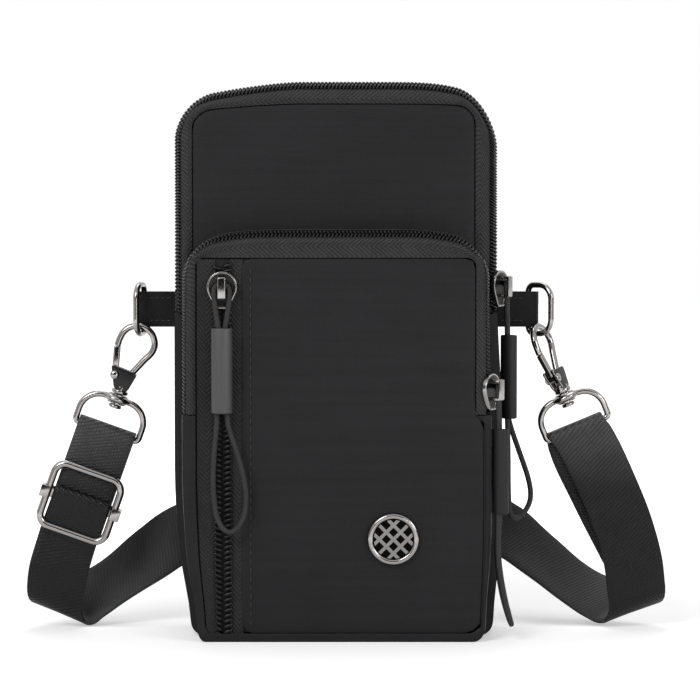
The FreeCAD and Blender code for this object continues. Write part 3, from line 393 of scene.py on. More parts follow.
def freeze(obj, name):
    """Put an object's place, turn and size into its mesh."""
    take(obj)
    obj.name = obj.data.name = name
    bpy.ops.object.transform_apply(location=True, rotation=True, scale=True)
    return obj


def make(kind, name, spans, place=(0, 0, 0), turn=(0, 0, 0), **settings):
    """A simple body of a given width, depth and height, in millimetres."""
    deselect()
    add = getattr(bpy.ops.mesh, f"primitive_{kind}_add")
    add(location=Vector(place) * MM, rotation=turn, **UNIT[kind], **settings)
    bpy.context.object.scale = Vector(spans) * MM
    return freeze(bpy.context.object, name)


def edit(obj):
    """Open an object for editing, with all of it selected."""
    take(obj)
    bpy.ops.object.mode_set(mode="EDIT")
    select_all()


def done():
    bpy.ops.object.mode_set(mode="OBJECT")


def select_all():
    bpy.ops.mesh.select_all(action="SELECT")


def pick(obj, what, test):
    """While editing, select the vertices, edges or faces that pass a test on their corners in millimetres."""
    bpy.ops.mesh.select_mode(type=what)
    bpy.ops.mesh.select_all(action="DESELECT")
    mesh = bmesh.from_edit_mesh(obj.data)
    for part in {"VERT": mesh.verts, "EDGE": mesh.edges, "FACE": mesh.faces}[what]:
        corners = [part.co] if what == "VERT" else [v.co for v in part.verts]
        part.select_set(test(*[c / MM for c in corners]))
    mesh.select_flush_mode()
    bmesh.update_edit_mesh(obj.data)


def cut_edges_along(obj, axis, cuts):
    """While editing, cut the edges that run along one axis."""
    pick(obj, "EDGE", lambda a, b: abs(a[axis] - b[axis]) > 0.9 * (a - b).length)
    bpy.ops.mesh.subdivide(number_cuts=cuts)


def extrude(x, y, z):
    bpy.ops.mesh.extrude_region_move(TRANSFORM_OT_translate={"value": (x * MM, y * MM, z * MM)})


def drop_faces():
    """While editing, keep only the outline."""
    select_all()
    bpy.ops.mesh.delete(type="ONLY_FACE")


def face_outward():
    select_all()
    bpy.ops.mesh.normals_make_consistent(inside=False)


# %% Finishing tools
def modify(obj, kind, **settings):
    """Add a modifier and apply it at once."""
    take(obj)
    modifier = obj.modifiers.new(kind.lower(), kind)
    for key, value in settings.items():
        setattr(modifier, key, value)
    bpy.ops.object.modifier_apply(modifier=modifier.name)


def thicken(obj, thickness, offset=-1):
    modify(obj, "SOLIDIFY", thickness=thickness * MM, offset=offset)


def soften(obj, width, segments, sharp=40):
    """Round off the edges that turn by more than sharp degrees."""
    modify(obj, "BEVEL", width=width * MM, segments=segments, limit_method="ANGLE",
           angle_limit=math.radians(sharp))


def reshape(obj, move):
    """Move every vertex by a rule from millimetres to millimetres."""
    for vertex in obj.data.vertices:
        vertex.co = Vector(move(*(vertex.co / MM))) * MM
    obj.data.update()


def joined(name, pieces):
    take(pieces[0])
    for piece in pieces:
        piece.select_set(True)
    bpy.ops.object.join()
    return freeze(bpy.context.object, name)


def store_lie(obj, rows):
    """Store along and across, in metres, for the finishes that follow a strip."""
    layer = obj.data.attributes.new("lie", "FLOAT_VECTOR", "POINT")
    layer.data.foreach_set("vector", [c for along, across in rows for c in (along, across, 0.0)])


def lay_out(obj, rule):
    """Store along and across by a rule in millimetres."""
    store_lie(obj, [[s * MM for s in rule(*(v.co / MM))] for v in obj.data.vertices])


def hand_over(obj, body, finish, *nodes, smooth=50):
    """Finish a piece: smooth shading, material, the body that it rides on, the nodes it stands for."""
    take(obj)
    bpy.ops.object.shade_smooth_by_angle(angle=math.radians(smooth))
    obj.data.materials.clear()
    obj.data.materials.append(FINISHES[finish])
    if isinstance(body, str):
        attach(obj, body)
    else:
        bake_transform(obj)
    if nodes:
        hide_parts(*nodes)
    print(f"{obj.name}: {len(obj.data.polygons)} faces")
    return obj


# %% [markdown]
# ## How sewn cloth settles
# The CAD model draws the pouch as a neat box with round corners. The sewn one has rounder shoulders, a
# slightly narrower base and a faint ripple. One rule for all the sewn cloth, with small additions for some
# pieces, keeps the seams together.
# An arch is given by its half width, its crown and the radius of its corners, and a rim is the height at
# which it ends.

# %% Driving sizes
POUCH = (54.0, 185.5, 13.5)
POUCH_FRONT, POUCH_BACK = -6.0, 22.0
ZIP_RIM, BASE_RIM = 108.3, 107.9
POCKET = (50.5, 136.0, 12.0)
POCKET_FRONT = -22.0
POCKET_ZIP_RIM, POCKET_BASE_RIM = 75.3, 74.9
BASE_CORNER = 4.5
UPPER_PANEL = (46.6, 178.1, 6.0)
POCKET_PANEL = (46.2, 126.9, 3.0)
UPRIGHT_ZIP = -37.3


def inset(arch, by, side=None):
    """An arch inside another one; side is a different distance for its legs."""
    half, crown, corner = arch
    return half - (by if side is None else side), crown - by, corner - by


print("pouch", 2 * POUCH[0], "wide,", POUCH[1], "tall")


# %% The settling rules
def clamp(t):
    return min(max(t, 0.0), 1.0)


def ease(t):
    t = clamp(t)
    return t * t * (3 - 2 * t)


def shoulder_drop(x, z):
    """The left shoulder slopes from far in, the right one stays level for longer."""
    share = clamp((abs(x) - 12) / 42)
    drop = 6.3 * share ** 1.5 if x < 0 else 9.0 * share ** 4
    return drop * ease((z - 128) / 50)


def settled(x, y, z):
    """Shoulders drop, the foot draws in, more on the left, and the right side bulges half-way up."""
    if x < 0:
        foot = 3.2 * ease((56 - z) / 56) + 2.2 * ease((30 - z) / 28)
    else:
        foot = 1.4 * ease((40 - z) / 40)
    foot *= clamp((abs(x) - 38) / 14)
    side = 1.6 * ease(z / 40) * ease((112 - z) / 40) * clamp((x - 49) / 4)
    return x - math.copysign(foot, x) + side, y, max(z - shoulder_drop(x, z), 0.0)


def pocket_settled(x, y, z):
    """The zip of the pocket rounds its shoulders more than the panel inside it."""
    outside = clamp(max(abs(x) - 46, z - POCKET_PANEL[1]) / 3.5)
    drop = 5.0 * ease((z - 95) / 41) * clamp((abs(x) - 22) / 28.5) ** 2.2 * outside
    x, y, z = settled(x, y, z)
    return x, y, z - drop


def low_right(x, y, z):
    """Below the end of its zip, the front of the pocket reaches further out to the right seam."""
    reach = (x - 38) / 8 if x < 46.1 else (50.4 - x) / 4.3
    level = ease((75.2 - z) / 3) * ease((z - 0.5) / 6)
    return settled(x + 3.0 * level * clamp(reach), y, z)


def high_left(x, y, z):
    """The upper panel sits a little to the left, and its top seam stays flatter than the zip round it."""
    from_corner = math.hypot(max(abs(x) - 40.5, 0), max(z - 172.0, 0))
    inside = 1 - clamp((from_corner - 6.1) / 4.7)
    reach = (-38 - x) / 8.4 if x > -46.5 else 1 - (-46.5 - x) / 7.2
    x -= 1.5 * clamp(reach)
    lift = shoulder_drop(x, z) * inside * (0.5 if x < 0 else 0.75)
    x, y, z = settled(x, y, z)
    return x, y, z + lift


def ripple(x, y, z):
    """Faint unevenness of hand-guided sewing, in millimetres."""
    spot = Vector((x, y, z))
    return 0.25 * noise.noise(spot / 17.0) + 0.12 * noise.noise(spot / 6.0)


# %% [markdown]
# ## Cloth panels
# A panel starts as a grid, so that it can crown softly. Its square corners are drawn in to round ones, its
# rim falls back a little, and Solidify and Bevel turn it into padded cloth with a folded edge.

# %% Panel maker
GRID_STEP = 3.5


def cloth_panel(name, box, corners, front, crown, *nodes, body="pouch", finish="shell_cloth", thickness=1.6,
                facing=1, rule=settled):
    """A crowned panel from left to right and foot to top: facing 1 looks to the front, -1 to the back."""
    left, right, foot, top = box
    foot_corner, top_corner = corners
    wide, tall = right - left, top - foot
    middle_x, middle_z = (left + right) / 2, (foot + top) / 2
    panel = make("grid", name, (wide, tall, 1), (middle_x, front, middle_z), (facing * math.pi / 2, 0, 0),
                 x_subdivisions=round(wide / GRID_STEP), y_subdivisions=round(tall / GRID_STEP))

    def drawn_in(x, y, z):
        across, up = (x - middle_x) / wide * 2, (z - middle_z) / tall * 2
        radius = top_corner if up > 0 else foot_corner
        a = abs(x - middle_x) - (wide / 2 - radius)
        b = abs(z - middle_z) - (tall / 2 - radius)
        if a > 0 and b > 0:
            share = max(a, b) / math.hypot(a, b)
            x = middle_x + math.copysign(wide / 2 - radius + a * share, across)
            z = middle_z + math.copysign(tall / 2 - radius + b * share, up)
        fall = 1 - (1 - abs(across) ** 5) * (1 - abs(up) ** 7)
        return x, front + facing * (crown * fall + ripple(x, y, z) * (1 - fall)), z

    reshape(panel, drawn_in)
    thicken(panel, thickness)
    soften(panel, 0.4, 3, sharp=50)
    reshape(panel, rule)
    return hand_over(panel, body, finish, *nodes)


# %% Panels of the main compartment
FOLD_START, FOLD_END = 139, 146
mouth = ("pouch", "mouth_flap", *(Vector((0, POUCH_FRONT, level)) * MM for level in (FOLD_START, FOLD_END)))
half, top, corner = POUCH
front_panel = cloth_panel("mouth_panel", (-46.4, 46.4, 4, 177.9), (5, 5.8), POUCH_FRONT, 0.9,
                          "upper_panel", "divider_panel", body=mouth, rule=high_left)
back_cloth = cloth_panel("back_cloth", (-half, half, 0, top), (BASE_CORNER, corner), POUCH_BACK, 1.2,
                         "back_panel", facing=-1)
cloth_panel("inner_lining", (2 - half, half - 2, 2, top - 2.1), (5, corner - 2), POUCH_BACK - 2.2, 0.0,
            "back_lining", finish="lining_cloth", thickness=0.5)

# %% Panels of the front pocket
pocket_front = cloth_panel("pocket_front", (-31.0, 46.0, 2.6, 126.7), (4, 2.8), POCKET_FRONT, 0.8,
                           "pocket_panel", rule=low_right)
cloth_panel("zip_pocket_bag_cloth", (-46.3, 5.5, 3, 126.7), (5, 3), POCKET_FRONT + 1.6, 0.0,
            "zip_pocket_bag", finish="lining_cloth", thickness=0.5)

# %% [markdown]
# ## Gussets and tapes: strips that turn round corners
# A gusset is a strip on edge that runs up one side, round two corners and down the other. By hand: a
# plane in the front view, its two corners bevelled, the face and the open side deleted, and the line that
# is left extruded to the back.

# %% Arches
def arch_parts(arch, rim):
    """Lengths of one leg, of one corner and of the whole arch."""
    half, crown, corner = arch
    leg, quarter = abs(crown - rim) - corner, corner * math.pi / 2
    return leg, quarter, 2 * (leg + quarter) + 2 * (half - corner)


def arch_run(arch, rim, x, z):
    """How far along the arch a point lies, from the left rim."""
    half, _, corner = arch
    leg, quarter, total = arch_parts(arch, rim)
    height = abs(z - rim)
    if height <= leg:
        run = height
    elif abs(x) <= half - corner:
        return leg + quarter + x + half - corner
    else:
        run = leg + corner * math.atan2(height - leg, max(abs(x) - half + corner, 0.01))
    return run if x < 0 else total - run


def arch_line(name, arch, rim, level, leg_cuts, top_cuts):
    """An open arch of edges in the front view."""
    half, crown, corner = arch
    line = make("plane", name, (2 * half, abs(crown - rim), 1), (0, level, (rim + crown) / 2), UPRIGHT)
    edit(line)
    pick(line, "VERT", lambda a: abs(a.z - crown) < 0.1)
    bpy.ops.mesh.bevel(offset=corner * MM, segments=10, affect="VERTICES", clamp_overlap=False)
    drop_faces()
    pick(line, "EDGE", lambda a, b: max(abs(a.z - rim), abs(b.z - rim)) < 0.1)
    bpy.ops.mesh.delete(type="EDGE")
    cut_edges_along(line, 2, leg_cuts)
    cut_edges_along(line, 0, top_cuts)
    done()
    return line


# %% Strip maker
def cloth_strip(name, arch, rim, front, back, finish, *nodes, thickness=1.6, bulge=0.0, rule=settled):
    """A strip on edge along an arch, from front to back, that bulges between its two seams."""
    strip = arch_line(name, arch, rim, front, 15, 20)
    edit(strip)
    extrude(0, back - front, 0)
    cut_edges_along(strip, 1, 4)
    face_outward()
    done()
    middle = (rim + arch[1]) / 2
    side = max(strip.data.polygons, key=lambda f: f.center.x - abs(f.center.z / MM - middle) * MM)
    if side.normal.x < 0:
        strip.data.flip_normals()
    outward = [v.normal.copy() for v in strip.data.vertices]
    for vertex, way in zip(strip.data.vertices, outward):
        x, y, z = vertex.co / MM
        swell = 1 - (2 * (y - front) / (back - front) - 1) ** 2
        vertex.co += way * ((bulge + ripple(x, y, z)) * swell * MM)
    thicken(strip, thickness)
    lay_out(strip, lambda x, y, z: (arch_run(arch, rim, x, z), y - front))
    reshape(strip, rule)
    hand_over(strip, "pouch", finish, *nodes)


# %% Gussets
BASE = (POUCH[0], 0.0, BASE_CORNER)
POCKET_BASE = (POCKET[0], 0.0, BASE_CORNER)
SEAM_BACK, SEAM_FRONT, POCKET_SEAM = 21.0, -5.6, -21.6
cloth_strip("zip_gusset_cloth", POUCH, ZIP_RIM, 7.1, SEAM_BACK, "shell_cloth", "zip_gusset", bulge=0.4)
cloth_strip("base_gusset_cloth", BASE, BASE_RIM, SEAM_FRONT, SEAM_BACK, "shell_cloth", "base_gusset",
            bulge=0.5)
cloth_strip("pocket_zip_gusset_cloth", POCKET, POCKET_ZIP_RIM, -12.2, SEAM_FRONT, "shell_cloth",
            "pocket_zip_gusset", bulge=0.3, rule=pocket_settled)
cloth_strip("pocket_base_cloth", POCKET_BASE, POCKET_BASE_RIM, POCKET_SEAM, SEAM_FRONT, "shell_cloth",
            "pocket_base_gusset", bulge=0.5)

# %% Rear tapes of both zips, and their backing
# The rear tape of a coil zip runs on under the teeth, so that nothing shows between them.
cloth_strip("main_rear_tape", inset(POUCH, 0.8), ZIP_RIM, 0.0, 7.4, "zip_tape", "main_tape_rear",
            thickness=0.8)
cloth_strip("pocket_rear_tape", inset(POCKET, 0.8), POCKET_ZIP_RIM, -16.3, -12.0, "zip_tape",
            "pocket_tape_rear", thickness=0.8, rule=pocket_settled)
cloth_strip("main_zip_backing", inset(POUCH, 2.0), ZIP_RIM, -4.7, 1.2, "upright_zip_tape", thickness=0.6)
cloth_strip("pocket_zip_backing", inset(POCKET, 1.9, 1.4), POCKET_ZIP_RIM, -20.6, -15.4, "upright_zip_tape",
            thickness=0.6, rule=pocket_settled)

# %% [markdown]
# ## Front tapes
# The front tapes lie flat round each panel. By hand: two outlines, the outer along the coil and the
# inner along the panel, bridged by one loop of faces, then cut across for a slight crown.

# %% Flat tape maker
def flat_tape(name, rim, outer, inner, level, finish, *nodes, body="pouch", thickness=0.8, swell=0.0,
              rule=settled):
    """Tape between two arches that swells forward."""
    tape = joined(name, [arch_line("outline", arch, rim, level, 25, 25) for arch in (outer, inner)])
    edit(tape)
    bpy.ops.mesh.bridge_edge_loops(number_cuts=3, interpolation="LINEAR")
    face_outward()
    done()
    if tape.data.polygons[0].normal.y > 0:
        tape.data.flip_normals()
    half, crown, corner = outer

    def across(x, z):
        a, b = abs(x) - (half - corner), corner - abs(crown - z)
        if a > 0 and b > 0:
            return corner - math.hypot(a, b)
        return min(half - abs(x), abs(crown - z))

    def swollen(x, y, z):
        share = clamp(across(x, z) / (half - inner[0]))
        return x, y - swell * (1 - (2 * share - 1) ** 2), z

    reshape(tape, swollen)
    thicken(tape, thickness)
    lay_out(tape, lambda x, y, z: (arch_run(outer, rim, x, z), across(x, z)))
    reshape(tape, rule)
    hand_over(tape, body, finish, *nodes)


# %% Front tapes
# The seam allowance inside the mouth closes the join of tape and panel, which shows when the mouth is open.
flat_tape("main_front_tape", ZIP_RIM, inset(POUCH, 2.7), UPPER_PANEL, -5.3, "zip_tape",
          "main_tape_front", "main_tape_ends", body=mouth, swell=0.9, rule=high_left)
flat_tape("mouth_seam_allowance", ZIP_RIM, inset(POUCH, 3.9, 3.8), inset(POUCH, 9.1, 9.0), -3.2,
          "lining_cloth", body=mouth, thickness=0.5, rule=high_left)
flat_tape("pocket_front_tape", POCKET_ZIP_RIM, inset(POCKET, 2.3, 1.1), POCKET_PANEL, -21.3, "zip_tape",
          "pocket_tape_front", swell=0.8, rule=pocket_settled)

# %% Front edges of the base gussets
flat_tape("base_gusset_edge", BASE_RIM, (53.8, 0.2, 4.3), (46.0, 6.0, 3.0), -5.7, "shell_cloth",
          thickness=1.4, swell=0.5)
flat_tape("pocket_base_edge", POCKET_BASE_RIM, (50.3, 0.2, 4.3), (46.2, 2.8, 3.0), -21.5, "shell_cloth",
          thickness=1.4, swell=0.6, rule=low_right)


# %% Tapes of the upright zip
def upright_tape(name, left, right, front, *nodes):
    """Flat tape beside the upright zip."""
    foot, top = 2.2, 126.4
    tape = make("grid", name, (right - left, top - foot, 1), ((left + right) / 2, front, (foot + top) / 2),
                UPRIGHT, x_subdivisions=4, y_subdivisions=40)
    thicken(tape, 0.8)
    lay_out(tape, lambda x, y, z: (z - foot, x - left))
    reshape(tape, settled)
    hand_over(tape, "pouch", "upright_zip_tape", *nodes)


upright_tape("front_zip_left_tape", UPRIGHT_ZIP - 8.3, UPRIGHT_ZIP - 2.3, -21.2, "front_zip_tapes")
upright_tape("front_zip_right_tape", UPRIGHT_ZIP + 2.3, UPRIGHT_ZIP + 6.7, -21.0)

# %% [markdown]
# ## Zip coils
# A coil zip is a nylon thread wound into hundreds of small turns. What the eye sees of each turn is one
# slanting bead. So one bead is modelled, with few faces, and copied along the zip in two rows that mesh.

# %% One bead, and rows of copies
def pattern_of(obj):
    """Points and faces of a small object that is only a pattern for copies."""
    pattern = np.array([v.co for v in obj.data.vertices]), [list(f.vertices) for f in obj.data.polygons]
    bpy.data.objects.remove(obj)
    return pattern


def copies(name, pattern, frames):
    """One mesh of many copies: each frame is a place and three directions, in millimetres."""
    points, faces = pattern
    stack, rings = [], []
    for number, (place, axes) in enumerate(frames):
        stack.append(points @ np.array(axes) + np.array(place) * MM)
        rings += [[i + number * len(points) for i in face] for face in faces]
    mesh = bpy.data.meshes.new(name)
    mesh.from_pydata(np.concatenate(stack).tolist(), [], rings)
    obj = bpy.data.objects.new(name, mesh)
    scene.collection.objects.link(obj)
    return obj


bead = make("uv_sphere", "coil_bead", (1.0, 3.0, 1.7), segments=8, ring_count=6)
edit(bead)
bpy.ops.transform.rotate(value=math.radians(20), orient_axis="Z", center_override=(0, 0, 0))
done()
BEAD = pattern_of(bead)
print("bead of", len(BEAD[1]), "faces")


# %% Coils round the corners
PITCH = 1.25


def arch_spot(arch, rim, run):
    """Place and direction on an arch, the inverse of arch_run."""
    half, crown, corner = arch
    leg, quarter, total = arch_parts(arch, rim)
    mirror = run > total / 2
    if mirror:
        run = total - run
    if run <= leg:
        x, z, way = -half, rim + run, (0, 1)
    elif run <= leg + quarter:
        turn = (run - leg) / corner
        x, z = -(half - corner) - corner * math.cos(turn), crown - corner + corner * math.sin(turn)
        way = (math.sin(turn), math.cos(turn))
    else:
        x, z, way = -(half - corner) + run - leg - quarter, crown, (1, 0)
    return (-x, z, (way[0], -way[1])) if mirror else (x, z, way)


def arch_coil(name, arch, rim, level, flip, shift, tilt, *nodes, body="pouch", rule=settled):
    """A row of beads along an arch, with their outer ends on it, leaning by tilt to the front."""
    lean = math.radians(tilt)
    back = np.array((0, 1, 0))
    frames = []
    for number in range(int(arch_parts(arch, rim)[2] / PITCH)):
        x, z, (ahead_x, ahead_z) = arch_spot(arch, rim, (number + shift) * PITCH)
        ahead = np.array((ahead_x, 0, ahead_z))
        out = np.array((-ahead_z, 0, ahead_x))
        up = out * math.cos(lean) - back * math.sin(lean)
        across = back * math.cos(lean) + out * math.sin(lean)
        frames.append((np.array((x, level, z)) - out, [ahead, across * flip, up]))
    row = copies(name, BEAD, frames)
    reshape(row, rule)
    hand_over(row, body, "zip_coil", *nodes, smooth=180)


COIL_RIM, POCKET_COIL_RIM = 108.6, 75.6
arch_coil("main_front_coil", inset(POUCH, 0.9), COIL_RIM, -4.5, 1, 0.25, 35,
          "main_coil_front", "main_coil_ends", body=mouth)
arch_coil("main_rear_coil", inset(POUCH, -0.2), COIL_RIM, -1.7, -1, 0.75, 10, "main_coil_rear")
arch_coil("pocket_front_coil", inset(POCKET, 0.9, 0.3), POCKET_COIL_RIM, -20.6, 1, 0.25, 35,
          "pocket_coil_front", rule=pocket_settled)
arch_coil("pocket_rear_coil", inset(POCKET, -0.2, -0.4), POCKET_COIL_RIM, -17.8, -1, 0.75, 10,
          "pocket_coil_rear", rule=pocket_settled)

# %% Upright coil
UPRIGHT_PITCH, UPRIGHT_RUN, UPRIGHT_FOOT, UPRIGHT_LEVEL = 1.75, 124, 2.8, -21.7
upright_frames = []
for number in range(int(UPRIGHT_RUN / UPRIGHT_PITCH)):
    for side in (-1, 1):
        height = UPRIGHT_FOOT + (number + 0.25 * (1 + side)) * UPRIGHT_PITCH
        place = (UPRIGHT_ZIP + side * 1.75, UPRIGHT_LEVEL, height)
        upright_frames.append((place, [(0, 0, 1.25), (1.25 * side, 0, 0), (0, -0.8, 0)]))
upright_coil = copies("front_zip_coil_turns", BEAD, upright_frames)
reshape(upright_coil, settled)
hand_over(upright_coil, "pouch", "zip_coil", "front_zip_coil", smooth=180)

# %% [markdown]
# ## Shoulder strap
# The strap is one long piece of 20 mm webbing. It turns over each swivel loop, drops, folds under and
# rises behind the pouch, and its spare length lies folded in a hank behind. Two smooth edge lines run
# through stations along the strap, and one bridge of faces joins them. Then it gets thickness.

# %% Stations of the strap
# A row of a route is the middle of the strap and the direction across it.
LEFT_SWIVEL = Matrix.Translation((-74.342, 9.905, 78.548)) @ Matrix.Rotation(math.radians(19.5), 4, "Y")
RIGHT_SWIVEL = Matrix.Translation((78.004, 11.326, 78.989)) @ Matrix.Rotation(math.radians(-22.5), 4, "Y")
LEFT_ROUTE = [
    (-95.2, 8.6, 16.2, 0.98, 0.05, -0.20), (-95.6, 12.4, 6.6, 0.91, 0.13, -0.38),
    (-92.4, 17.6, 5.6, 0.82, -0.20, -0.46), (-86.4, 21.4, 9.0, 0.62, -0.45, -0.50),
    (-77.0, 24.6, 14.6, 0.46, -0.62, -0.56), (-65.0, 27.2, 23.2, 0.47, -0.42, -0.74),
    (-52.0, 28.3, 31.5, 0.55, 0.00, -0.83), (-38.0, 28.2, 35.5, 0.30, 0.00, -0.95),
    (-22.0, 28.0, 35.0, 0.00, 0.00, -1.00), (-4.0, 28.0, 28.5, -0.30, 0.00, -0.95),
    (13.0, 28.0, 20.0, -0.36, 0.00, -0.93), (28.0, 28.0, 13.2, -0.25, 0.00, -0.97),
    (37.0, 28.0, 11.0, 0.00, 0.00, -1.00),
]
RIGHT_ROUTE = [
    (102.0, 9.8, 16.6, 0.98, 0.03, 0.20), (102.2, 13.4, 6.6, 0.94, 0.08, 0.30),
    (98.6, 19.0, 5.8, 0.82, 0.32, 0.42), (92.2, 23.4, 8.2, 0.62, 0.54, 0.48),
    (83.4, 27.8, 12.8, 0.47, 0.68, 0.49), (71.4, 33.4, 22.0, 0.43, 0.62, 0.60),
    (57.0, 41.0, 32.0, 0.42, 0.36, 0.78), (42.0, 48.5, 35.0, 0.30, 0.05, 0.95),
    (25.0, 52.8, 34.5, 0.00, 0.00, 1.00), (6.0, 53.6, 28.0, -0.30, 0.00, 0.95),
    (-12.0, 53.6, 19.5, -0.36, 0.00, 0.93), (-28.0, 53.6, 13.0, -0.25, 0.00, 0.97),
    (-37.0, 53.6, 11.0, 0.00, 0.00, 1.00),
]
STRAP_WIDTH, STRAP_THICKNESS = 20.0, 1.4
HANK_RUNS, HANK_PITCH, HANK_END, HANK_FRONT, HANK_LEVEL = 7, 3.2, 43.4, 28.0, 11.0
LEFT_TAIL, RIGHT_TAIL, RIGHT_SWAY = 36.0, 46.0, 1.7


def edge_way(swivel):
    """The direction across the strap where it hangs from a swivel."""
    return (swivel.to_3x3() @ Vector((1, 0, 0))).normalized()


def strap_end(swivel, tail, sway, route):
    """Sewn tail behind the swivel loop, the turn over its foot, the drop that sways out, then the route."""
    turn = [(0.3, 2.0, -11.6 - tail), (-0.8, 2.0, -11.6 - tail * 0.5), (-1.2, 2.0, -15.0), (-0.8, 2.0, -11.6),
            (-0.6, 1.42, -10.18), (-0.5, 0.0, -9.6), (-0.4, -1.42, -10.18), (-0.3, -2.0, -11.6),
            (0.2, -2.0, -14.0), (1.0, -2.0, -34.0), (0.6, -2.0, -54.0)]
    stations = [(swivel @ Vector((share * sway, y, z)), edge_way(swivel)) for share, y, z in turn]
    return stations + [(Vector(row[:3]), Vector(row[3:]).normalized()) for row in route]


down = Vector((0, 0, -1))
hank = []
for run in range(HANK_RUNS + 1):
    side = 1 if run % 2 == 0 else -1
    depth = HANK_FRONT + run * HANK_PITCH
    if run > 0:
        hank.append((Vector((0, depth, HANK_LEVEL)), down))
    for reach, step in ((0, 0), (1.6, HANK_PITCH / 2), (0, HANK_PITCH)):
        hank.append((Vector(((HANK_END + reach) * side, depth + step, HANK_LEVEL)), down))
left_stations = strap_end(LEFT_SWIVEL, LEFT_TAIL, 0.0, LEFT_ROUTE)
right_end = strap_end(RIGHT_SWIVEL, RIGHT_TAIL, RIGHT_SWAY, RIGHT_ROUTE)
strap_stations = left_stations + hank + [(middle, -edge) for middle, edge in reversed(right_end)]
print(len(strap_stations), "stations")


# %% Lines
def smooth_line(name, kind, lines, resolution):
    """A curve of lines of points in millimetres: a BEZIER goes through them, a NURBS is drawn by them."""
    curve = bpy.data.curves.new(name, "CURVE")
    curve.dimensions = "3D"
    curve.resolution_u = resolution
    for spots in lines:
        spline = curve.splines.new(kind)
        points = spline.bezier_points if kind == "BEZIER" else spline.points
        points.add(len(spots) - 1)
        for point, spot in zip(points, spots):
            if kind == "BEZIER":
                point.co = Vector(spot) * MM
                point.handle_left_type = point.handle_right_type = "AUTO"
            else:
                point.co = (*(Vector(spot) * MM), 1)
        if kind == "NURBS":
            spline.order_u = 3
            spline.use_endpoint_u = True
    obj = bpy.data.objects.new(name, curve)
    scene.collection.objects.link(obj)
    return take(obj)


def runs_along(points):
    """Distance along a row of points, from the first one."""
    steps = np.linalg.norm(np.diff(points, axis=0), axis=1)
    return np.concatenate([[0], np.cumsum(steps)])


# %% Webbing maker
def webbing(name, stations, width, thickness):
    """A strip of webbing through stations, and its length in metres."""
    sides = [[middle + edge * (width * side) for middle, edge in stations] for side in (-0.5, 0.5)]
    strip = smooth_line(name, "BEZIER", sides, 5)
    bpy.ops.object.convert(target="MESH")
    edges = np.array([v.co for v in strip.data.vertices]).reshape(2, -1, 3)
    along = runs_along(edges.mean(axis=0))
    edit(strip)
    bpy.ops.mesh.bridge_edge_loops(number_cuts=7, interpolation="LINEAR")
    done()
    run = edges[1] - edges[0]
    rows = []
    for vertex in strip.data.vertices:
        offset = np.array(vertex.co) - edges[0]
        part = np.clip((offset * run).sum(1) / (run * run).sum(1), 0, 1)
        owner = np.argmin(np.linalg.norm(offset - run * part[:, None], axis=1))
        rows.append((along[owner], part[owner] * width * MM))
    store_lie(strip, rows)
    thicken(strip, thickness, 0)
    soften(strip, 0.3, 2, sharp=50)
    print(f"{name}: {along[-1]:.3f} m long")
    return strip, along[-1]


strap, strap_length = webbing("shoulder_strap", strap_stations, STRAP_WIDTH, STRAP_THICKNESS)
hand_over(strap, "pouch", "webbing", "strap_left", "strap_right", "strap_hank")

# %% Inner face of the strap
# On the rear bands the inner face of the webbing is painted paler for the light that falls on it: painted
# light. Its roughness is softer there too.
strap.data.materials.append(FINISHES["webbing_painted_light"])
inside = 0
for face in strap.data.polygons:
    x, y, z = face.center / MM
    rear_band = y > 14 and abs(x) > 50 and z < 62
    if rear_band and face.normal.z - face.normal.y > 0.3:
        face.material_index = 1
        inside += 1
print("inner faces", inside)

# %% Webbing turned over the adjuster bar
TURN = [(0, -2.9, -50.5), (0, -3.3, -46.0), (0, -3.9, -40.0), (0, -4.5, -37.0), (0, -4.3, -35.2),
        (0, -3.2, -34.4), (0, -2.9, -35.4)]
turn_stations = [(LEFT_SWIVEL @ Vector(spot), edge_way(LEFT_SWIVEL)) for spot in TURN]
turn, _ = webbing("adjuster_turn", turn_stations, STRAP_WIDTH - 1, 1.2)
hand_over(turn, "adjuster", "webbing")

# %% Tie round the hank
TIE_WIDTH, TIE_FROM = 10.0, -5.0
tie = make("plane", "hank_tie", (21.2, 21.8, 1), (TIE_FROM, 40.8, HANK_LEVEL), (0, math.pi / 2, 0))
edit(tie)
bpy.ops.mesh.bevel(offset=1.6 * MM, segments=4, affect="VERTICES")
drop_faces()
select_all()
extrude(TIE_WIDTH, 0, 0)
face_outward()
done()
thicken(tie, 0.8, 0)
lay_out(tie, lambda x, y, z: (y + z, x))
hand_over(tie, "pouch", "webbing", "strap_tie")

# %% [markdown]
# ## Side tabs
# Each tab is a short piece of folded tape sewn into the side seam, with the bar of the D ring in its fold.
# By hand: the fold is drawn from above as a line, bevelled round the ring's bar, and pulled up.

# %% Tabs
TAB_FROM, TAB_LENGTH, TAB_FOOT, TAB_HEIGHT = 54.0, 15.0, 103.0, 12.0
TAB_DEPTH, TAB_FOLD, TAB_ROUND, TAB_THICKNESS = 14.6, 4.0, 1.95, 1.1


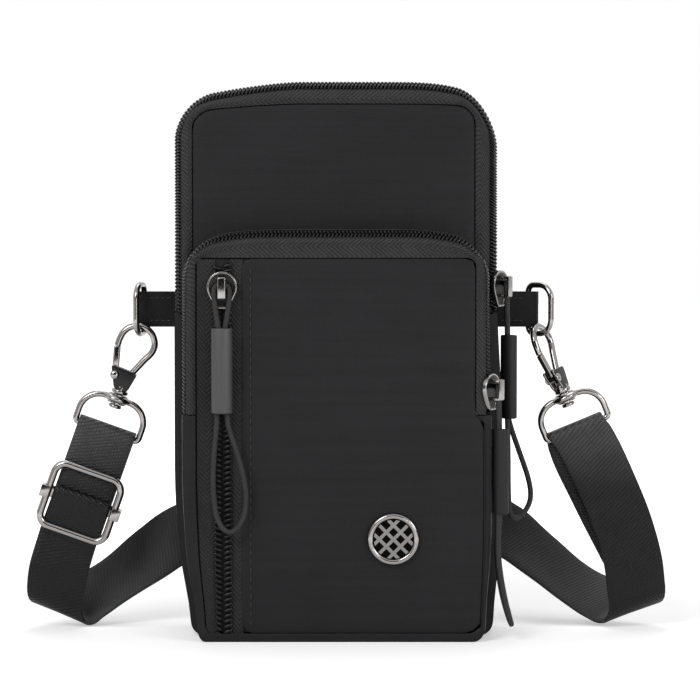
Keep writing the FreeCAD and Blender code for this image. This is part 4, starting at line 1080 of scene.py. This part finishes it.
def side_tab(name, side, node):
    tab = make("plane", name, (TAB_LENGTH, TAB_FOLD, 1),
               (side * (TAB_FROM + TAB_LENGTH / 2), TAB_DEPTH, TAB_FOOT))
    edit(tab)
    pick(tab, "VERT", lambda a: a.x * side > TAB_FROM + 6)
    bpy.ops.mesh.bevel(offset=TAB_ROUND * MM, segments=6, affect="VERTICES", clamp_overlap=False)
    drop_faces()
    pick(tab, "EDGE", lambda a, b: max(abs(c.x * side - TAB_FROM) for c in (a, b)) < 0.1)
    bpy.ops.mesh.delete(type="EDGE")
    cut_edges_along(tab, 0, 6)
    select_all()
    extrude(0, 0, TAB_HEIGHT)
    cut_edges_along(tab, 2, 6)
    face_outward()
    done()
    foremost = min(tab.data.polygons, key=lambda f: f.center.y)
    if foremost.normal.y > 0:
        tab.data.flip_normals()
    thicken(tab, TAB_THICKNESS)
    lay_out(tab, lambda x, y, z: (abs(x), z))
    reshape(tab, lambda x, y, z: (x, y + 0.3 * noise.noise(Vector((x, y, z)) / 5.0), z))
    hand_over(tab, "pouch", "tab_cloth", node)


side_tab("left_tab_cloth", -1, "left_tab")
side_tab("right_tab_cloth", 1, "right_tab")

# %% [markdown]
# ## Zip pulls
# Each slider carries a braided cord under its bridge, a rubber sleeve and a loop of the same cord. The cord
# is one smooth line: it starts in the sleeve, goes under the bridge, back through the sleeve, round the
# hanging loop, and ends in the sleeve again. It also stands for the small wire loop of the CAD model.

# %% Cord routes
UNDER_BRIDGE = [
    (-0.95, -0.3, -30.0), (-0.95, -0.3, -20.0), (-0.95, -0.2, -14.5), (-1.7, 0.0, -10.5), (-2.5, 0.1, -5.0),
    (-2.5, 0.2, 0.3), (2.5, 0.2, 0.3), (2.5, 0.1, -5.0), (1.7, 0.0, -10.5), (0.95, -0.2, -14.5),
    (0.95, -0.3, -20.0), (1.1, -0.1, -26.0), (1.6, 0.0, -33.0),
]
LOOPS = {
    "front": [(1.6, 0, -42), (2.2, 0, -47), (5.8, 0, -57), (8.2, 0, -68), (7.4, 0, -77), (2.8, 0, -82.2),
              (-1.6, 0, -78), (-3.0, 0, -68), (-2.8, 0, -57), (-1.8, 0, -47), (-1.6, 0, -42), (-1.6, 0, -30)],
    "main": [(1.6, 0, -42), (2.4, -1.4, -48), (4.2, -5.0, -58), (4.6, -8.0, -66.5), (3.4, -8.6, -72.5),
             (1.4, -6.6, -76.6), (-0.8, -3.4, -79.2), (-3.0, -1.0, -77.6), (-4.2, -0.4, -69.5),
             (-3.6, -0.4, -57), (-1.8, -0.2, -46.5), (-1.6, 0, -42), (-1.6, 0, -30)],
    "pocket": [(1.6, 0, -42), (1.8, 0.1, -46.5), (4.4, 0.4, -57), (5.0, -1.2, -68.5), (3.6, -3.4, -76.4),
               (0.2, -4.6, -79.4), (-3.4, -3.8, -76.8), (-4.9, -1.6, -68.5), (-4.2, 0.2, -57),
               (-1.8, 0.1, -46.5), (-1.6, 0, -42), (-1.6, 0, -30)],
}
CORD_THICKNESS = 1.8


def in_metres(matrix):
    """The same turn, with its place in metres."""
    scaled = matrix.copy()
    scaled.translation *= MM
    return scaled


def braided_cord(name, points):
    """A tube along a line, its path and its length in metres, with the numbers that its braid reads."""
    guide = smooth_line(f"{name}_guide", "NURBS", [points], 8)
    bare = bpy.data.meshes.new_from_object(guide.evaluated_get(bpy.context.evaluated_depsgraph_get()))
    path = np.array([v.co for v in bare.vertices])
    bpy.data.meshes.remove(bare)
    along = runs_along(path)
    guide.data.bevel_depth = CORD_THICKNESS / 2 * MM
    guide.data.bevel_resolution = 3
    guide.data.use_fill_caps = True
    bpy.ops.object.convert(target="MESH")
    tube = freeze(bpy.context.object, name)
    points = np.array([v.co for v in tube.data.vertices])
    nearest = np.linalg.norm(points[:, None, :] - path[None, :, :], axis=2).argmin(axis=1)
    ring = np.arange(len(points)) % 10 / 10 * math.pi * CORD_THICKNESS * MM
    store_lie(tube, zip(along[nearest], ring))
    return tube, path, along[-1]


# %% Cords and sleeves
# Each pull has the place and turn of its hinge, the depth, twist, outward shift and drop of its sleeve, and a
# rubber. The side sleeves hang in the shade of the pouch; their rubber is painted darker for it: painted
# shade.
SLEEVE_WIDTH, SLEEVE_LENGTH, SLEEVE_WALL, SLEEVE_HOLE = 7.0, 28.0, 0.9, 1.5
PULLS = {
    "front": ((-37.3, -25.65, 117.9), 0, 5.8, 0, 0.0, 28.0, "sleeve_rubber"),
    "main": ((57.25, -2.95, 118.0), 90, 5.2, 22, -0.7, 31.2, "sleeve_rubber_painted_shade"),
    "pocket": ((53.75, -19.1, 84.3), 90, 5.2, 22, -0.7, 28.0, "sleeve_rubber_painted_shade"),
}
for which, (hinge, turn, depth, twist, out, drop, rubber) in PULLS.items():
    place = Matrix.Translation(hinge) @ Matrix.Rotation(math.radians(turn), 4, "Z")
    cord, path, length = braided_cord(
        f"{which}_cord", [place @ Vector(spot) for spot in UNDER_BRIDGE + LOOPS[which]])
    hand_over(cord, f"{which}_pull", "pull_cord", f"{which}_pull_cord", f"{which}_pull_wire", smooth=180)
    sleeve = make("cylinder", f"{which}_rubber_sleeve", (SLEEVE_WIDTH, depth, SLEEVE_LENGTH), vertices=28)
    edit(sleeve)
    for end in (-1, 1):
        level = SLEEVE_LENGTH / 2 * end
        pick(sleeve, "FACE", lambda *corners: all(abs(c.z - level) < 0.01 for c in corners))
        bpy.ops.mesh.inset(thickness=SLEEVE_WALL * MM)
        extrude(0, 0, -SLEEVE_HOLE * end)
    done()
    soften(sleeve, 0.5, 3)
    hung = Matrix.Translation((0, out, -drop)) @ Matrix.Rotation(math.radians(twist), 4, "Z")
    sleeve.data.transform(in_metres(place) @ in_metres(hung))
    hand_over(sleeve, f"{which}_pull", rubber, f"{which}_sleeve")
    print(which, "cord", round(length, 4), "m")

# %% [markdown]
# ## Zip sliders
# A cast slider is a small shield with a bright rim, a sunk face with a painted dark reflection and a bridge
# that holds the cord.
# By hand: a disc, its lower half drawn out, extruded, inset and sunk, then a bridge of three bars.

# %% Slider maker
SLIDER_DISC, SLIDER_THICKNESS, SLIDER_RIM, SLIDER_SINK = 10.0, 1.5, 0.7, 0.5
BRIDGE = [((2.6, 0.9, 6.8), (0, -4.5, 0.6)), ((2.6, 3.7, 1.1), (0, -2.7, 3.6)),
          ((2.6, 3.7, 1.1), (0, -2.7, -2.4))]


def shield(x, y, z):
    """Draw the lower half of a disc out into a shield with a level foot."""
    if z < 0:
        x *= 1 - 0.24 * ease(-z / 3.6)
        z = max(z * 1.7, -7.2)
    return x, y, z + 1.0


def use_dark(obj, test):
    """Give the faces of a metal piece that pass a test a painted dark reflection, as its second material."""
    obj.data.materials.append(FINISHES["metal_painted_dark_reflection"])
    for face in obj.data.polygons:
        if test(face):
            face.material_index = 1


def zip_slider(name, place, turn, body, node):
    plate = make("circle", name, (SLIDER_DISC, SLIDER_DISC, 1), turn=UPRIGHT, vertices=36, fill_type="NGON")
    reshape(plate, shield)
    edit(plate)
    extrude(0, -SLIDER_THICKNESS, 0)
    bpy.ops.mesh.inset(thickness=SLIDER_RIM * MM)
    extrude(0, SLIDER_SINK, 0)
    face_outward()
    done()
    plate = joined(name, [plate] + [make("cube", "bar", spans, spot) for spans, spot in BRIDGE])
    soften(plate, 0.3, 4)
    level = SLIDER_SINK - SLIDER_THICKNESS
    sunk = {f.index for f in plate.data.polygons if abs(f.center.y / MM - level) < 0.02 and f.normal.y < -0.9}
    plate.data.transform(Matrix.Translation((0, -0.3 * MM, 0)))
    plate.data.transform(in_metres(Matrix.Translation(place) @ Matrix.Rotation(math.radians(turn), 4, "Z")))
    hand_over(plate, body, "gunmetal", node)
    # The sunk face gets a painted dark reflection.
    use_dark(plate, lambda face: face.index in sunk)
    print(name, len(sunk), "sunk faces")


zip_slider("front_slider_cast", (-37.3, -22.4, 116.4), 0, "front_zip_slider", "front_slider")
zip_slider("main_slider_cast", (54.0, -2.95, 116.5), 58, "main_zip_slider", "main_slider")
zip_slider("pocket_slider_cast", (50.5, -19.1, 82.8), 58, "pocket_zip_slider", "pocket_slider")

# %% [markdown]
# ## Trigger hooks
# A trigger hook is cast in one piece: a teardrop of wire, two cheeks that hold the gate between them, a neck
# and a headed shank that turns in the eye of the swivel loop. The wire is a smooth line with a round
# section, the cheeks are plates with round corners, and the gate is a bar with a knuckle.

# %% Hook parts
# Outlines are given in the plane of the hook, sideways and up. Each turned step of the shank has a radius,
# a foot, a top and the width of its soft edges.
TEARDROP = [(0, -2.0), (0, 4.8), (1.6, 9.4), (3.9, 14.8), (6.0, 20.0), (5.2, 23.0), (3.0, 25.2), (0, 26.0),
            (-3.0, 25.2), (-5.2, 23.0), (-6.0, 20.0), (-6.0, 17.2)]
CHEEK = {(-1, -1): (-2.3, 3.0), (1, -1): (2.2, 3.0), (1, 1): (3.7, 10.3), (-1, 1): (-5.9, 10.7)}
CHEEK_INSIDE, CHEEK_OUTSIDE = 1.35, 2.2
GATE_PIVOT, GATE_TIP = Vector((-3.5, 0, 7.6)), Vector((-6.0, 0, 17.15))
SHANK = [(2.3, 2.0, 4.6, 0.5), (2.9, 1.95, 3.2, 0.4), (2.3, -3.2, -1.95, 0.5)]
WIRE, GATE_DEPTH, KNUCKLE = 2.3, 2.0, 3.3
RIVET_HEAD, SWIVEL_EYE = (3.0, 1.35, 3.0), (9.4, 8.6, 3.7)


def round_wire(points, diameter):
    wire = smooth_line("wire", "BEZIER", [[(x, 0, z) for x, z in points]], 6)
    wire.data.bevel_depth = diameter / 2 * MM
    wire.data.bevel_resolution = 4
    wire.data.use_fill_caps = True
    bpy.ops.object.convert(target="MESH")
    return bpy.context.object


def round_block(radius, low, high, soft):
    """A turned step of the shank."""
    spans = (2 * radius, 2 * radius, high - low)
    block = make("cylinder", "step", spans, (0, 0, (low + high) / 2), vertices=28)
    soften(block, soft, 4)
    return block


def cheek(near, far):
    """A plate between two depths, with the corners of CHEEK rounded off."""
    plate = make("plane", "cheek", (2, 2, 1), (0, near, 0), UPRIGHT)

    def corner(x, y, z):
        x, z = CHEEK[(round(x), round(z))]
        return x, y, z

    reshape(plate, corner)
    edit(plate)
    bpy.ops.mesh.bevel(offset=1.3 * MM, segments=5, affect="VERTICES")
    select_all()
    extrude(0, far - near, 0)
    face_outward()
    done()
    soften(plate, 0.25, 3)
    return plate


def rivet_head(level):
    return make("uv_sphere", "rivet_head", RIVET_HEAD, GATE_PIVOT + Vector((0, level, 0)),
                segments=20, ring_count=12)


# %% Hooks, gates and swivel eyes
def trigger_hook(side, swivel, turn):
    place = in_metres(swivel @ Matrix.Rotation(math.radians(turn), 4, "Z"))
    hook = joined(f"{side}_hook_cast", [
        round_wire(TEARDROP, WIRE), cheek(-CHEEK_INSIDE, -CHEEK_OUTSIDE), cheek(CHEEK_INSIDE, CHEEK_OUTSIDE),
        rivet_head(-CHEEK_OUTSIDE), rivet_head(CHEEK_OUTSIDE), *(round_block(*step) for step in SHANK)])
    hook.data.transform(place)
    hand_over(hook, f"{side}_trigger_hook", "gunmetal", f"{side}_hook", f"{side}_rivet")
    unturned = place.inverted()

    def outer_cheek(face):
        spot = unturned @ face.center / MM
        return abs(abs(spot.y) - CHEEK_OUTSIDE) < 0.05 and 2.5 < spot.z < 11

    # The outer cheeks get a painted dark reflection.
    use_dark(hook, outer_cheek)
    run = GATE_TIP - GATE_PIVOT
    lever = make("cube", "lever", (WIRE, GATE_DEPTH, run.length), (GATE_PIVOT + GATE_TIP) / 2,
                 (0, math.atan2(run.x, run.z), 0))
    soften(lever, 0.5, 4)
    knuckle = make("cylinder", "knuckle", (KNUCKLE, KNUCKLE, GATE_DEPTH), GATE_PIVOT, UPRIGHT, vertices=24)
    gate = joined(f"{side}_gate_cast", [lever, knuckle])
    gate.data.transform(place)
    hand_over(gate, f"{side}_hook_gate", "gunmetal", f"{side}_gate", smooth=40)
    eye = make("uv_sphere", f"{side}_swivel_eye", SWIVEL_EYE, segments=32, ring_count=16)
    eye.data.transform(in_metres(swivel))
    hand_over(eye, "pouch", "gunmetal")


trigger_hook("left", LEFT_SWIVEL, 0)
trigger_hook("right", RIGHT_SWIVEL, 62)

# %% [markdown]
# ## Stitching
# A row of stitches is one short thread, modelled once and copied. It runs beside the folded edge of the
# pocket's front and along both edges of the tabs.

# %% Stitches
STITCH = pattern_of(make("uv_sphere", "stitch", (2.1, 0.42, 0.36), segments=6, ring_count=5))
TAB_FACE, TAB_STITCH = 12.5, 1.9


def stitch_row(name, start, end, pitch):
    """Stitches on a face that looks to the front."""
    start, end, out = Vector(start), Vector(end), Vector((0, -1, 0))
    ahead = (end - start).normalized()
    count = int((end - start).length / pitch)
    frames = [(start + ahead * ((i + 0.5) * pitch), [ahead, out.cross(ahead), out]) for i in range(count)]
    hand_over(copies(name, STITCH, frames), "pouch", "sewing_thread", smooth=180)


stitch_row("pocket_topstitch", (-28.0, -21.95, 5), (-28.0, -21.95, 125), 2.9)
for side, tab_side in ((-1, "left"), (1, "right")):
    for row_name, level in (("stitch", 112.8), ("low_stitch", 105.2)):
        start, end = (side * 56.0, TAB_FACE, level), (side * 64.8, TAB_FACE, level)
        stitch_row(f"{tab_side}_tab_{row_name}", start, end, TAB_STITCH)

# %% [markdown]
# ## Metal and badge
# The rings, swivel loops, adjuster frame and badge are rigid, and their CAD shapes are right, so they stay
# and only get their finish. The adjuster's bar is stamped from sheet, so its ends get soft edges.

# %% Sliding bar of the adjuster
bar_node = frame["nodes"]["buckle_bar"]
bar_mesh = bar_node.data.copy()
bar_mesh.transform(bar_node.matrix_world)
soft_bar = bpy.data.objects.new("buckle_bar_stamped", bar_mesh)
scene.collection.objects.link(soft_bar)
edit(soft_bar)
bpy.ops.mesh.remove_doubles(threshold=0.005 * MM)
bpy.ops.mesh.dissolve_limited(angle_limit=math.radians(5))
done()
soften(soft_bar, 0.7, 4)
hand_over(soft_bar, "adjuster_bar", "gunmetal", "buckle_bar", smooth=40)

# %% Finish of the rigid nodes
for subpart in frame["record"]["subparts"]:
    node = frame["nodes"][subpart["node"]]
    if not node.hide_render:
        node.data.materials.clear()
        finish = "badge_metal" if subpart["node"] == "badge_lattice" else subpart["material_slot"]
        node.data.materials.append(FINISHES[finish])
print("rigid nodes shown:", sum(not n.hide_render for n in frame["nodes"].values()))
